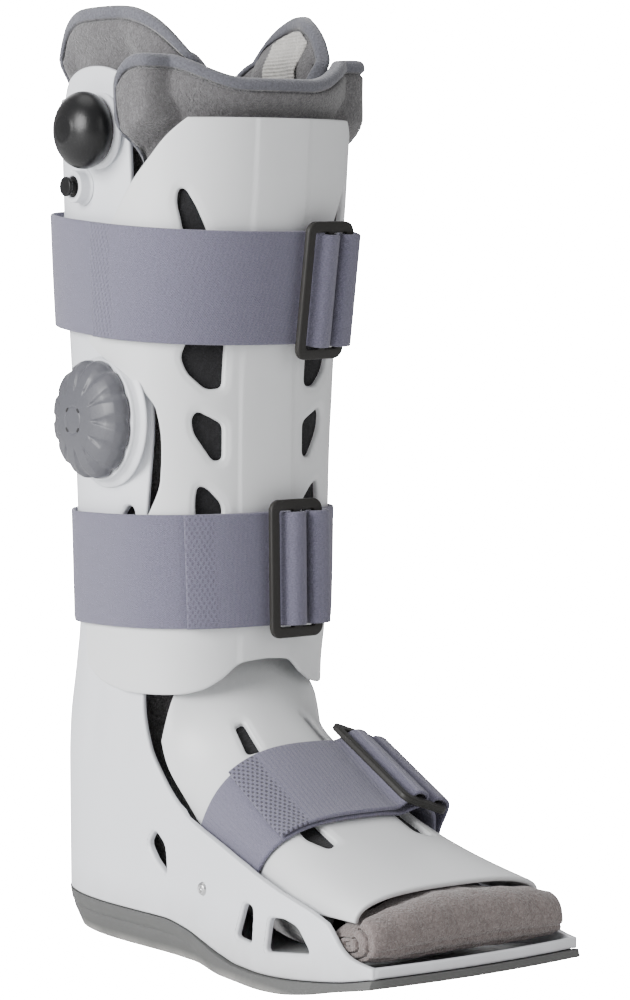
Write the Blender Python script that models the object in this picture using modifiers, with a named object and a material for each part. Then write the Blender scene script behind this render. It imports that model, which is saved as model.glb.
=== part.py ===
"""Tall walking boot with a hard shell, plush liner, three buckled straps, squeeze bulb and selector dial.

The boot stands on its sole. +Z is up, the toes point to -Y, and the side with the bulb and the dial is -X.
The origin is on the ground, on the boot's centre plane, below the axis of the leg. Sizes are in metres.
"""

import math
from collections import namedtuple

import bmesh
import bpy
import numpy as np
from mathutils import Matrix, Vector

# Walls and clearances
GAP = 0.0003
PANEL_GAP = 0.0008
PANEL_WALL = 0.0026
SHELL_WALL = 0.0028
PAD_WALL = 0.0025
FLAP_WALL = 0.0060
LINER_WALL = 0.0050
STRAP_WALL = 0.0018
STRAP_WIDTH = 0.0495
STRAP_GAP = 0.0008
LAYER_GAP = 0.0006
LOOP_GAP = 0.0008
STRAP_ROOM = 0.0040
LINER_GAP = 0.0022
PATCH_WALL = 0.0012

# Leg, measured on the outer face of the shin panel
LEG_TOP = 0.3720
CALF_HALF_WIDTH = 0.0605
CALF_FRONT = 0.0605
CALF_BACK = 0.0670
LEG_ROUNDNESS = 2.5

# Rear shell
TAB_RISE = 0.0130
TAB_FORWARD = 0.0030
TAB_HALF_LENGTH = 0.0270
LIP_HEIGHT = 0.0045
TOE_REACH = 0.1910
TOE_BOW = 0.0035
RUN_SHARES = (0.0, 0.17, 0.27, 0.38, 0.50, 0.66, 0.84, 1.0)
FOOT_SPREAD = 0.0100
FOOT_ONLY_BELOW = 0.0600
LEG_ONLY_ABOVE = 0.1150

# Outsole
HEEL_SOLE = 0.0160
SOLE_FLARE = 0.0030
TREAD_INSET = 0.0030
TREAD_HEEL_INSET = 0.0080
TOE_SPRING = 0.0125

# Shin panel and instep panel
SHIN_PANEL_TOP = 0.3620
SKIRT_BOTTOM = 0.1127
SKIRT_NOTCH = 0.0148
INSTEP_REACH = 0.1750
INSTEP_TOP = 0.1320
INSTEP_ROUNDNESS = 2.8
INSTEP_SHOULDER = 0.0036
INSTEP_HALF_WIDTH = 0.0420
ANKLE_ROUNDNESS = 2.3

# Soft parts
FLAP_BOTTOM = 0.1500
SOFT_ROWS = (0.1500, 0.1900, 0.2300, 0.2620, 0.2950, 0.3290)
EDGE_ROOM = 0.0055
FLAP_TOP = 0.3790
FLAP_CORNER_RISE = 0.0100
FLAP_FLARE = 0.0135
LINER_COLUMNS = 28
LINER_LEG_SHARES = (0.0, 0.18, 0.38, 0.58, 0.76, 0.85, 0.93, 1.0)
PATCH_COLUMNS = (6.0, 7.0, 8.0)
PATCH_RISE = 0.0040
PATCH_RIM = 0.0070
PATCH_GAP = 0.0015
LINER_BACK_TOP = 0.3760
WING_RISE = 0.0350
WING_FLARE = 0.0068
ANKLE_TUCK = 0.0120
LINER_TOE = 0.1480
HEEL_ROUNDNESS = 2.2
ROLL_FRONT = 0.1885
ROLL_BACK = 0.1570
ROLL_HALF_LENGTH = 0.0500

# Straps and buckles
UPPER_STRAP_HEIGHT = 0.2932
UPPER_STRAP_TILT = 0.0770
LOWER_STRAP_HEIGHT = 0.1663
LOWER_STRAP_TILT = -0.0220
FOOT_STRAP_FORWARD = 0.0925
FOOT_STRAP_SLOPE = 0.5000
BAR_PITCH = 0.0120
BAR_WIDTH = 0.0048
MIDDLE_BAR_WIDTH = 0.0036
BAR_WALL = 0.0028
FRAME_CORNER = 0.0050
RIVET_RADIUS = 0.0045
RIVET_HEAD = 0.0014

# Air system
BULB_RADIUS = 0.0167
BULB_HEIGHT = 0.3570
BULB_FORWARD = 0.0030
BULB_HALF_DEPTH = 0.0113
BULB_SINK = 0.0060
FLANGE_RADIUS = 0.0166
FLANGE_WALL = 0.0026
VALVE_HEIGHT = 0.3330
VALVE_BACK = 0.0120
VALVE_RADIUS = 0.0070
VALVE_BORE = 0.0046
VALVE_LENGTH = 0.0056
BUTTON_TRAVEL = 0.0020
BUTTON_CAP_RADIUS = 0.0043
BUTTON_STEM_RADIUS = 0.0028
BUTTON_CAP_LENGTH = 0.0018
DIAL_HEIGHT = 0.2320
DIAL_RADIUS = 0.0260
DIAL_LENGTH = 0.0132
DIAL_NOTCHES = 12
DIAL_NOTCH_DEPTH = 0.0011
DIAL_BOSS_NARROWER = 0.0008
DIAL_LIP = 0.0004
DIAL_BOSS_RISE = 0.0045
DIAL_PIN_RADIUS = 0.0037
DIAL_PIN_CLEARANCE = 0.0004
DIAL_PIN_LENGTH = 0.0070
SIDE_RIVET_FORWARD = 0.0655
SIDE_RIVET_HEIGHT = 0.0340
SIDE_RIVET_RADIUS = 0.0030

SHELL_INSET = PANEL_WALL + PANEL_GAP
FLAP_INSET = SHELL_INSET + SHELL_WALL + PANEL_GAP
LINER_BACK_INSET = SHELL_INSET + SHELL_WALL + LINER_GAP
LINER_FRONT_INSET = FLAP_INSET + FLAP_WALL + LINER_GAP

# Leg sections: heights are shares of LEG_TOP, the others of the three calf sizes
LegRow = namedtuple("LegRow", "height half_width front back")
LEG_ROWS = (
    LegRow(0.043, 0.810, 0.790, 1.190),
    LegRow(0.202, 0.810, 0.790, 1.198),
    LegRow(0.247, 0.810, 0.780, 1.180),
    LegRow(0.323, 0.826, 0.755, 1.055),
    LegRow(0.390, 0.861, 0.785, 0.940),
    LegRow(0.538, 0.899, 0.770, 0.925),
    LegRow(0.659, 0.934, 0.782, 0.940),
    LegRow(0.806, 0.967, 0.893, 0.985),
    LegRow(0.900, 0.983, 0.967, 1.000),
    LegRow(1.000, 1.000, 1.000, 1.000),
    LegRow(1.140, 1.000, 1.000, 1.000),
)

# Foot plan: forward places are shares of TOE_REACH, spreads of FOOT_SPREAD, sole heights of HEEL_SOLE
PlanRow = namedtuple("PlanRow", "forward spread shell_bottom tread")
PLAN_ROWS = (
    PlanRow(-0.45, 0.00, 1.000, 0.00),
    PlanRow(0.00, 0.00, 1.000, 0.00),
    PlanRow(0.16, -0.05, 1.000, 0.00),
    PlanRow(0.26, 0.05, 0.880, 0.00),
    PlanRow(0.34, 0.22, 0.690, 0.00),
    PlanRow(0.42, 0.40, 0.500, 0.00),
    PlanRow(0.50, 0.60, 0.390, 0.00),
    PlanRow(0.58, 0.80, 0.385, 0.00),
    PlanRow(0.68, 0.95, 0.450, 0.08),
    PlanRow(0.79, 1.00, 0.590, 0.33),
    PlanRow(0.90, 0.98, 0.780, 0.70),
    PlanRow(1.00, 0.85, 1.030, 1.00),
)

# Front edge of the rear shell's walls: heights are shares of LEG_TOP, forward places of TOE_REACH
EdgeRow = namedtuple("EdgeRow", "height forward")
SHELL_EDGE = (
    EdgeRow(0.055, 0.975),
    EdgeRow(0.070, 0.905),
    EdgeRow(0.094, 0.850),
    EdgeRow(0.120, 0.640),
    EdgeRow(0.145, 0.440),
    EdgeRow(0.171, 0.255),
    EdgeRow(0.200, 0.165),
    EdgeRow(0.240, 0.105),
    EdgeRow(0.290, 0.083),
    EdgeRow(0.350, 0.083),
    EdgeRow(0.430, 0.105),
    EdgeRow(0.520, 0.118),
    EdgeRow(0.640, 0.140),
    EdgeRow(0.800, 0.135),
    EdgeRow(0.900, 0.113),
    EdgeRow(1.000, 0.110),
)

# Side edge of the shin panel: heights are shares of SHIN_PANEL_TOP, forward places of CALF_FRONT
PANEL_EDGE = (
    EdgeRow(0.338, -0.355),
    EdgeRow(0.387, -0.347),
    EdgeRow(0.420, -0.280),
    EdgeRow(0.456, 0.000),
    EdgeRow(0.497, 0.290),
    EdgeRow(0.530, 0.430),
    EdgeRow(0.571, 0.512),
    EdgeRow(0.619, 0.526),
    EdgeRow(0.655, 0.504),
    EdgeRow(0.677, 0.420),
    EdgeRow(0.700, 0.240),
    EdgeRow(0.739, -0.130),
    EdgeRow(0.775, -0.150),
    EdgeRow(0.820, -0.050),
    EdgeRow(0.877, 0.206),
    EdgeRow(0.928, 0.433),
    EdgeRow(0.955, 0.570),
    EdgeRow(0.978, 0.678),
    EdgeRow(1.000, 0.800),
)

# Skirt of the shin panel: turns are shares of the half wrap, rises of SKIRT_NOTCH
SkirtRow = namedtuple("SkirtRow", "turn rise")
SKIRT_ROWS = (
    SkirtRow(0.00, 1.00),
    SkirtRow(0.09, 0.93),
    SkirtRow(0.20, 0.47),
    SkirtRow(0.31, 0.17),
    SkirtRow(0.46, 0.03),
    SkirtRow(0.66, 0.00),
    SkirtRow(0.82, 0.02),
    SkirtRow(0.91, 0.17),
    SkirtRow(0.96, 0.40),
    SkirtRow(1.00, 0.66),
)

# Instep panel: forward places are shares of INSTEP_REACH, heights of INSTEP_TOP
InstepRow = namedtuple("InstepRow", "along crown_forward crown_height edge_forward edge_height")
INSTEP_ROWS = (
    InstepRow(0.00, 0.145, 0.990, 0.146, 0.700),
    InstepRow(0.10, 0.212, 0.890, 0.174, 0.600),
    InstepRow(0.22, 0.300, 0.785, 0.242, 0.495),
    InstepRow(0.35, 0.400, 0.690, 0.331, 0.415),
    InstepRow(0.48, 0.515, 0.595, 0.440, 0.358),
    InstepRow(0.61, 0.640, 0.502, 0.577, 0.310),
    InstepRow(0.74, 0.765, 0.440, 0.720, 0.282),
    InstepRow(0.87, 0.885, 0.398, 0.863, 0.270),
    InstepRow(1.00, 1.000, 0.365, 0.983, 0.270),
)

# Liner: sections from toe to ankle, and how much of the heel's width each one takes
LinerRow = namedtuple("LinerRow", "along far heel_share")
LINER_ROWS = (
    LinerRow(0.840, 0.000, 0.0),
    LinerRow(0.740, 0.050, 0.0),
    LinerRow(0.610, 0.145, 0.0),
    LinerRow(0.480, 0.250, 0.1),
    LinerRow(0.360, 0.365, 0.3),
    LinerRow(0.250, 0.490, 0.7),
    LinerRow(0.150, 0.650, 1.0),
    LinerRow(0.090, 0.755, 1.0),
    LinerRow(0.045, 0.850, 1.0),
    LinerRow(0.005, 0.940, 1.0),
)

# Top edge of the liner: turns from the front centre in degrees, near side negative, rises of WING_RISE
WingRow = namedtuple("WingRow", "turn rise")
WING_ROWS = (
    WingRow(-180, 0.00),
    WingRow(-135, 0.00),
    WingRow(-121, 0.10),
    WingRow(-111, 0.60),
    WingRow(-102, 0.93),
    WingRow(-84, 1.00),
    WingRow(-64, 0.85),
    WingRow(-48, 0.58),
    WingRow(-36, 0.32),
    WingRow(-18, 0.00),
    WingRow(40, 0.00),
    WingRow(55, 0.12),
    WingRow(65, 0.52),
    WingRow(74, 0.75),
    WingRow(89, 1.00),
    WingRow(101, 0.88),
    WingRow(111, 0.62),
    WingRow(119, 0.32),
    WingRow(132, 0.00),
    WingRow(180, 0.00),
)

# Vents of the shin panel on one side: a corner is (distance from the centre line, height)
SHIN_VENTS = {
    "top": ((0.0345, 0.3140), (0.0300, 0.3000), (0.0400, 0.3000), (0.0450, 0.3130), (0.0492, 0.3260),
            (0.0488, 0.3315), (0.0455, 0.3320), (0.0400, 0.3240)),
    "second": ((0.0220, 0.2460), (0.0220, 0.2680), (0.0255, 0.2730), (0.0390, 0.2680), (0.0422, 0.2600),
               (0.0390, 0.2530), (0.0300, 0.2455)),
    "third": ((0.0215, 0.2150), (0.0215, 0.2305), (0.0340, 0.2365), (0.0365, 0.2330), (0.0355, 0.2270),
              (0.0265, 0.2145)),
    "fourth": ((0.0220, 0.1850), (0.0215, 0.1955), (0.0290, 0.2030), (0.0335, 0.2040), (0.0345, 0.1980),
               (0.0340, 0.1850)),
}

# Vents of the instep panel on one side: a corner is (turn in degrees from the crown, share along the panel)
INSTEP_VENTS = {
    "upper": ((20, 0.215), (28, 0.215), (31, 0.320), (20, 0.330)),
    "lower": ((20, 0.575), (33, 0.575), (34, 0.640), (27, 0.705), (19, 0.690)),
}

# Vents of the rear shell's walls: a corner is (forward place, height)
SIDE_VENTS = {
    "heel": ((0.0240, 0.0536), (0.0190, 0.0470), (0.0250, 0.0400), (0.0335, 0.0345), (0.0320, 0.0475)),
    "ball_back": ((0.0930, 0.0180), (0.1010, 0.0340), (0.1085, 0.0330), (0.1070, 0.0175)),
    "ball_front": ((0.1180, 0.0160), (0.1215, 0.0310), (0.1320, 0.0320), (0.1420, 0.0300), (0.1510, 0.0205)),
    "shank": ((-0.0010, 0.1800), (0.0110, 0.1950), (0.0150, 0.1940), (0.0160, 0.1800)),
}

# Material table: linear colour, roughness, metallic
FINISHES = {
    "shell_white": ((0.66, 0.69, 0.72), 0.42, 0.0),
    "panel_white": ((0.62, 0.65, 0.67), 0.42, 0.0),
    "sole_grey": ((0.28, 0.28, 0.27), 0.75, 0.0),
    "plush_grey": ((0.29, 0.28, 0.28), 0.95, 0.0),
    "pad_black": ((0.012, 0.012, 0.014), 0.85, 0.0),
    "webbing_grey": ((0.29, 0.28, 0.37), 0.85, 0.0),
    "buckle_grey": ((0.045, 0.045, 0.042), 0.45, 0.0),
    "bulb_black": ((0.010, 0.010, 0.011), 0.35, 0.0),
    "dial_grey": ((0.16, 0.16, 0.18), 0.45, 0.0),
    "patch_light": ((0.55, 0.53, 0.51), 0.80, 0.0),
    "rivet_metal": ((0.60, 0.60, 0.60), 0.30, 1.0),
}


def smooth_step(low, high, value):
    """0 below low, 1 above high, and a smooth rise between them."""
    share = np.clip((value - low) / (high - low), 0.0, 1.0)
    return share * share * (3.0 - 2.0 * share)


def along(rows, key, column, at):
    """One column of a table at a place between its rows, on a smooth curve that never overshoots a row."""
    places = np.array([getattr(row, key) for row in rows], float)
    values = np.array([getattr(row, column) for row in rows], float)
    at = np.clip(at, places[0], places[-1])
    steps = np.diff(values) / np.diff(places)
    product = steps[:-1] * steps[1:]
    total = np.where(product > 0, steps[:-1] + steps[1:], 1.0)
    slopes = np.concatenate([steps[:1], np.where(product > 0, 2.0 * product / total, 0.0), steps[-1:]])
    low = np.clip(np.searchsorted(places, at) - 1, 0, len(places) - 2)
    span = places[low + 1] - places[low]
    t = (at - places[low]) / span
    start = (2 * t**3 - 3 * t**2 + 1) * values[low] + (t**3 - 2 * t**2 + t) * span * slopes[low]
    end = (3 * t**2 - 2 * t**3) * values[low + 1] + (t**3 - t**2) * span * slopes[low + 1]
    return start + end


def signed_power(value, power):
    return np.sign(value) * np.abs(value) ** power


def shell_edge(height):
    """How far forward the rear shell's wall reaches at a height."""
    return TOE_REACH * along(SHELL_EDGE, "height", "forward", height / LEG_TOP)


def panel_edge(height):
    """How far forward the shin panel's side edge lies at a height."""
    return CALF_FRONT * along(PANEL_EDGE, "height", "forward", height / SHIN_PANEL_TOP)


def leg_size(height, inset=0.0):
    """Half width, front depth and back depth of the leg's section at a height."""
    share = height / LEG_TOP
    half = CALF_HALF_WIDTH * along(LEG_ROWS, "height", "half_width", share) - inset
    front = CALF_FRONT * along(LEG_ROWS, "height", "front", share) - inset
    back = CALF_BACK * along(LEG_ROWS, "height", "back", share) - inset
    return half, front, back


def leg_point(turn, height, offset=0.0):
    """A point of the leg's surface, where turn 0 is the front centre and a quarter turn is the far side."""
    turn, height, offset = np.broadcast_arrays(turn, height, offset)
    half, front, back = leg_size(height)
    deep = np.where(np.cos(turn) > 0, front, back)
    x = half * signed_power(np.sin(turn), 2.0 / LEG_ROUNDNESS)
    y = -deep * signed_power(np.cos(turn), 2.0 / LEG_ROUNDNESS)
    lean_x = signed_power(x / half, LEG_ROUNDNESS - 1.0) / half
    lean_y = signed_power(y / deep, LEG_ROUNDNESS - 1.0) / deep
    length = np.hypot(lean_x, lean_y)
    return np.stack([x + offset * lean_x / length, y + offset * lean_y / length, height], -1)


def turn_at(forward, height):
    """The far side's turn at which the leg's surface is this far forward."""
    half, front, back = leg_size(height)
    reach = np.clip(np.abs(forward) / np.where(forward > 0, front, back), 0.0, 1.0)
    turn = np.arccos(reach ** (LEG_ROUNDNESS / 2.0))
    return np.where(forward > 0, turn, math.pi - turn)


def turn_at_girth(girth, height):
    """The turn that lies this far round the leg from the front centre."""
    turns = np.linspace(0.0, math.pi, 241)
    ring = leg_point(turns, height)
    lengths = np.concatenate([[0.0], np.cumsum(np.linalg.norm(np.diff(ring, axis=0), axis=1))])
    return np.interp(girth, lengths, turns)


def sole_top(forward):
    """Height of the seam between the shell and the sole."""
    return HEEL_SOLE * along(PLAN_ROWS, "forward", "shell_bottom", forward / TOE_REACH)


def shell_half_width(forward, height, inset=SHELL_INSET):
    """Half width of the rear shell: the foot's plan low down, the leg's section above."""
    half, front, back = leg_size(height, inset)
    deep = np.where(forward > 0, front, back)
    rest = np.clip(1.0 - (np.abs(forward) / deep) ** LEG_ROUNDNESS, 0.0, 1.0)
    leg = half * rest ** (1.0 / LEG_ROUNDNESS)
    foot = half + FOOT_SPREAD * along(PLAN_ROWS, "forward", "spread", forward / TOE_REACH)
    in_leg = smooth_step(FOOT_ONLY_BELOW, LEG_ONLY_ABOVE, height)
    return np.where(forward > 0, foot + (leg - foot) * in_leg, leg)


def instep_column(share, column, size):
    return size * along(INSTEP_ROWS, "along", column, share)


def instep_half_width(share):
    """Half width of the instep panel, which leaves room for the strap beside it inside the shell's walls."""
    forward = instep_column(share, "edge_forward", INSTEP_REACH)
    height = instep_column(share, "edge_height", INSTEP_TOP)
    inside = shell_half_width(forward, height) - SHELL_WALL - STRAP_ROOM
    room = smooth_step(0.02, 0.30, share)
    return INSTEP_HALF_WIDTH + (inside - INSTEP_HALF_WIDTH) * room


def instep_point(turn, share, offset=0.0):
    """A point of the instep panel: turn 0 is the crown, a quarter turn the edge, share runs to the toes."""
    turn, share, offset = np.broadcast_arrays(turn, share, offset)

    def base(turn, share):
        crown_y = -instep_column(share, "crown_forward", INSTEP_REACH)
        crown_z = instep_column(share, "crown_height", INSTEP_TOP)
        edge_y = -instep_column(share, "edge_forward", INSTEP_REACH)
        edge_z = instep_column(share, "edge_height", INSTEP_TOP)
        power = 2.0 / (ANKLE_ROUNDNESS + (INSTEP_ROUNDNESS - ANKLE_ROUNDNESS) * smooth_step(0.1, 0.5, share))
        rise = np.abs(np.cos(turn)) ** power
        shoulder = INSTEP_SHOULDER * np.clip(1.0 - share * 4.0, 0.0, 1.0) ** 2 * 4.0 * rise * (1.0 - rise)
        x = instep_half_width(share) * signed_power(np.sin(turn), power)
        y = edge_y + (crown_y - edge_y) * rise - shoulder
        return np.stack([x, y, edge_z + (crown_z - edge_z) * rise], -1)

    step = 1e-4
    inside = np.clip(turn, -math.pi / 2 + step, math.pi / 2 - step)
    across = base(inside + step, share) - base(inside - step, share)
    low = np.clip(share - step, 0.0, 1.0)
    high = np.clip(share + step, 0.0, 1.0)
    forward = base(inside, high) - base(inside, low)
    normal = np.cross(forward, across)
    normal = normal / np.linalg.norm(normal, axis=-1, keepdims=True)
    return base(turn, share) + offset[..., None] * normal


def finish(name):
    """The material of this name from the table, made once."""
    known = bpy.data.materials.get(name)
    if known:
        return known
    colour, roughness, metallic = FINISHES[name]
    material = bpy.data.materials.new(name)
    material.use_nodes = True
    shader = material.node_tree.nodes["Principled BSDF"]
    shader.inputs["Base Color"].default_value = (*colour, 1.0)
    shader.inputs["Roughness"].default_value = roughness
    shader.inputs["Metallic"].default_value = metallic
    return material


def place_object(name, data, material, collection):
    made = bpy.data.objects.new(name, data)
    collection.objects.link(made)
    if material:
        data.materials.append(finish(material))
    return made


def mesh_object(name, points, faces, material, collection, flip=False):
    """An object from points and faces, shaded smooth but for its sharp edges."""
    mesh = bpy.data.meshes.new(name)
    mesh.from_pydata([tuple(point) for point in points], [], faces)
    if flip:
        mesh.flip_normals()
    mesh.shade_smooth()
    mesh.set_sharp_from_angle(angle=math.radians(40))
    return place_object(name, mesh, material, collection)


def grid_faces(rows, columns, close_round=False):
    """Quads between the rows of a grid whose points are listed row by row."""
    faces = []
    for row in range(rows - 1):
        for column in range(columns if close_round else columns - 1):
            ahead = (column + 1) % columns
            faces.append((row * columns + column, row * columns + ahead,
                          (row + 1) * columns + ahead, (row + 1) * columns + column))
    return faces


def split_short(points, faces):
    """Each quad of a sheared grid as two triangles that meet on its shorter diagonal, which hugs the curve."""
    split = []
    for a, b, c, d in faces:
        if np.linalg.norm(points[a] - points[c]) < np.linalg.norm(points[b] - points[d]):
            split += [(a, b, c), (a, c, d)]
        else:
            split += [(a, b, d), (b, c, d)]
    return split


def grid_object(name, points, material, collection, close_round=False, flip=False):
    """A sheet through a grid of points, listed row by row."""
    rows, columns = points.shape[:2]
    points = points.reshape(-1, 3)
    faces = split_short(points, grid_faces(rows, columns, close_round))
    return mesh_object(name, points, faces, material, collection, flip)


def add_wall(obj, thickness):
    """Thickens an open surface inwards, against its normals."""
    wall = obj.modifiers.new("wall", "SOLIDIFY")
    wall.thickness = thickness
    wall.offset = -1.0
    wall.use_even_offset = True


def add_cut(obj, cutter, operation="DIFFERENCE"):
    cut = obj.modifiers.new(cutter.name, "BOOLEAN")
    cut.object = cutter
    cut.operation = operation
    cut.solver = "EXACT"


def face_out(mesh):
    """Turns every face of a closed solid outwards."""
    work = bmesh.new()
    work.from_mesh(mesh)
    bmesh.ops.recalc_face_normals(work, faces=work.faces)
    work.to_mesh(mesh)
    work.free()


def closed_loft(name, rings, material, collection):
    """A closed solid through rings of points, with a fan over each end ring."""
    count, around = rings.shape[:2]
    faces = grid_faces(count, around, close_round=True)
    points = np.concatenate([rings.reshape(-1, 3), [rings[0].mean(0)], [rings[-1].mean(0)]])
    first = count * around
    last = first + 1
    for column in range(around):
        ahead = (column + 1) % around
        faces.append((first, ahead, column))
        faces.append((last, (count - 1) * around + column, (count - 1) * around + ahead))
    solid = mesh_object(name, points, faces, material, collection)
    face_out(solid.data)
    return solid


def guide(obj):
    """Marks a cutter, so that it shows as wire and is left out of the object."""
    obj.hide_render = True
    obj.display_type = "WIRE"
    return obj


def vent_cutter(name, outline, surface, out, into, cutters):
    """A plug through a wall: the outline laid on the surface at a height above it and at a depth below it."""
    rings = np.stack([surface(outline[:, 0], outline[:, 1], depth) for depth in (out, -into)])
    return guide(closed_loft(name, rings, None, cutters))


def turned(name, profile, steps, centre, direction, material, collection):
    """A turned solid: the profile's (radius, height) points run down its outer side, about a direction."""
    mesh = bpy.data.meshes.new(name)
    points = [(radius, 0.0, height) for radius, height in profile]
    mesh.from_pydata(points, [(i, i + 1) for i in range(len(points) - 1)], [])
    made = place_object(name, mesh, material, collection)
    turn = made.modifiers.new("turn", "SCREW")
    turn.steps = steps
    turn.render_steps = steps
    turn.use_merge_vertices = True
    turn.merge_threshold = 1e-5
    turn.use_smooth_shade = True
    made.matrix_world = Matrix.Translation(centre) @ direction.to_track_quat("Z", "Y").to_matrix().to_4x4()
    return made


def frame_matrix(origin, along_axis, up_axis):
    """A frame whose X runs along, whose Y runs up and whose Z stands out."""
    across = Vector(along_axis).normalized()
    out = across.cross(Vector(up_axis)).normalized()
    up = out.cross(across)
    matrix = Matrix((across, up, out)).transposed().to_4x4()
    return Matrix.Translation(origin) @ matrix


def make_outsole(collection):
    """Rocker sole: three outlines, tread, waist and seam, joined by walls and closed by ladders of faces."""
    half, _, back = leg_size(HEEL_SOLE, SHELL_INSET)
    arc = np.linspace(math.pi, math.pi / 2, 9)[:-1]
    forward = TOE_REACH * np.array(RUN_SHARES)
    levels = []
    for level in range(3):
        inset = (TREAD_INSET, 0.0005, -0.0003)[level]
        heel_inset = (TREAD_HEEL_INSET, 0.0012, -0.0003)[level]
        arc_x = (half - inset) * np.abs(np.sin(arc)) ** (2.0 / LEG_ROUNDNESS)
        arc_y = (back - heel_inset) * np.abs(np.cos(arc)) ** (2.0 / LEG_ROUNDNESS)
        fore = smooth_step(0.27, 0.45, forward / TOE_REACH)
        flare = (SOLE_FLARE + inset) * fore * (0.85, 1.0, 0.6)[level]
        side_x = shell_half_width(forward, HEEL_SOLE) + flare - inset
        corner = np.array([0.0, 0.0015, 0.006])
        side_x[-1] -= corner[1]
        front_turn = np.linspace(1.0, 0.0, 5)[1:]
        front_x = (side_x[-1] - corner[1]) * front_turn
        front_y = -(TOE_REACH + 0.0015 - inset * 0.5 + TOE_BOW * (1.0 - front_turn**2))
        x = np.concatenate([arc_x, side_x, front_x])
        y = np.concatenate([arc_y, -forward, front_y])
        tread = TOE_SPRING * along(PLAN_ROWS, "forward", "tread", -y / TOE_REACH)
        top = sole_top(-y) - GAP
        waist = tread + (top - tread) * (0.12 + 0.48 * (1.0 - smooth_step(0.25, 0.50, -y / TOE_REACH)))
        levels.append(np.stack([x, y, (tread, waist, top)[level]], -1))
    return ladder_solid("outsole", levels, "sole_grey", collection)


def ladder_solid(name, levels, material, collection):
    """A closed solid from half outlines that start and end on the centre plane, mirrored to both sides."""
    rings = []
    for half in levels:
        near = half[1:-1][::-1] * (-1.0, 1.0, 1.0)
        rings.append(np.concatenate([half, near]))
    rings = np.stack(rings)
    count, around = rings.shape[:2]
    last = len(levels[0]) - 1
    faces = grid_faces(count, around, close_round=True)
    for ring, order in ((0, 1), (count - 1, -1)):
        start = ring * around
        for i in range(last):
            corners = [i, i + 1, (around - i - 1) % around, (around - i) % around]
            corners = list(dict.fromkeys(corners))
            faces.append(tuple(start + corner for corner in corners[::order]))
    solid = mesh_object(name, rings.reshape(-1, 3), faces, material, collection)
    face_out(solid.data)
    return solid


def shell_ring(row_height, lip):
    """The shell's outline at one height, from the near front edge round the heel to the far front edge."""
    half, _, back = leg_size(row_height, SHELL_INSET)
    forward = TOE_REACH if lip else float(shell_edge(row_height))
    run = forward * np.array(RUN_SHARES[:0:-1])
    arc = np.linspace(math.pi / 2, math.pi, 9)
    run_x = shell_half_width(run, row_height)
    arc_x = half * np.abs(np.sin(arc)) ** (2.0 / LEG_ROUNDNESS)
    arc_y = back * np.abs(np.cos(arc)) ** (2.0 / LEG_ROUNDNESS)
    x = np.concatenate([run_x, arc_x])
    y = np.concatenate([-run, arc_y])
    x[-1] = 0.0
    x = np.concatenate([-x, x[-2::-1]])
    y = np.concatenate([y, y[-2::-1]])
    return x, y


def shell_top(y):
    """Top edge of the rear shell, with the rounded tab that carries the bulb."""
    share = np.clip(1.0 - ((y - TAB_FORWARD) / TAB_HALF_LENGTH) ** 2, 0.0, 1.0)
    return LEG_TOP + TAB_RISE * np.sqrt(share)


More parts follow.
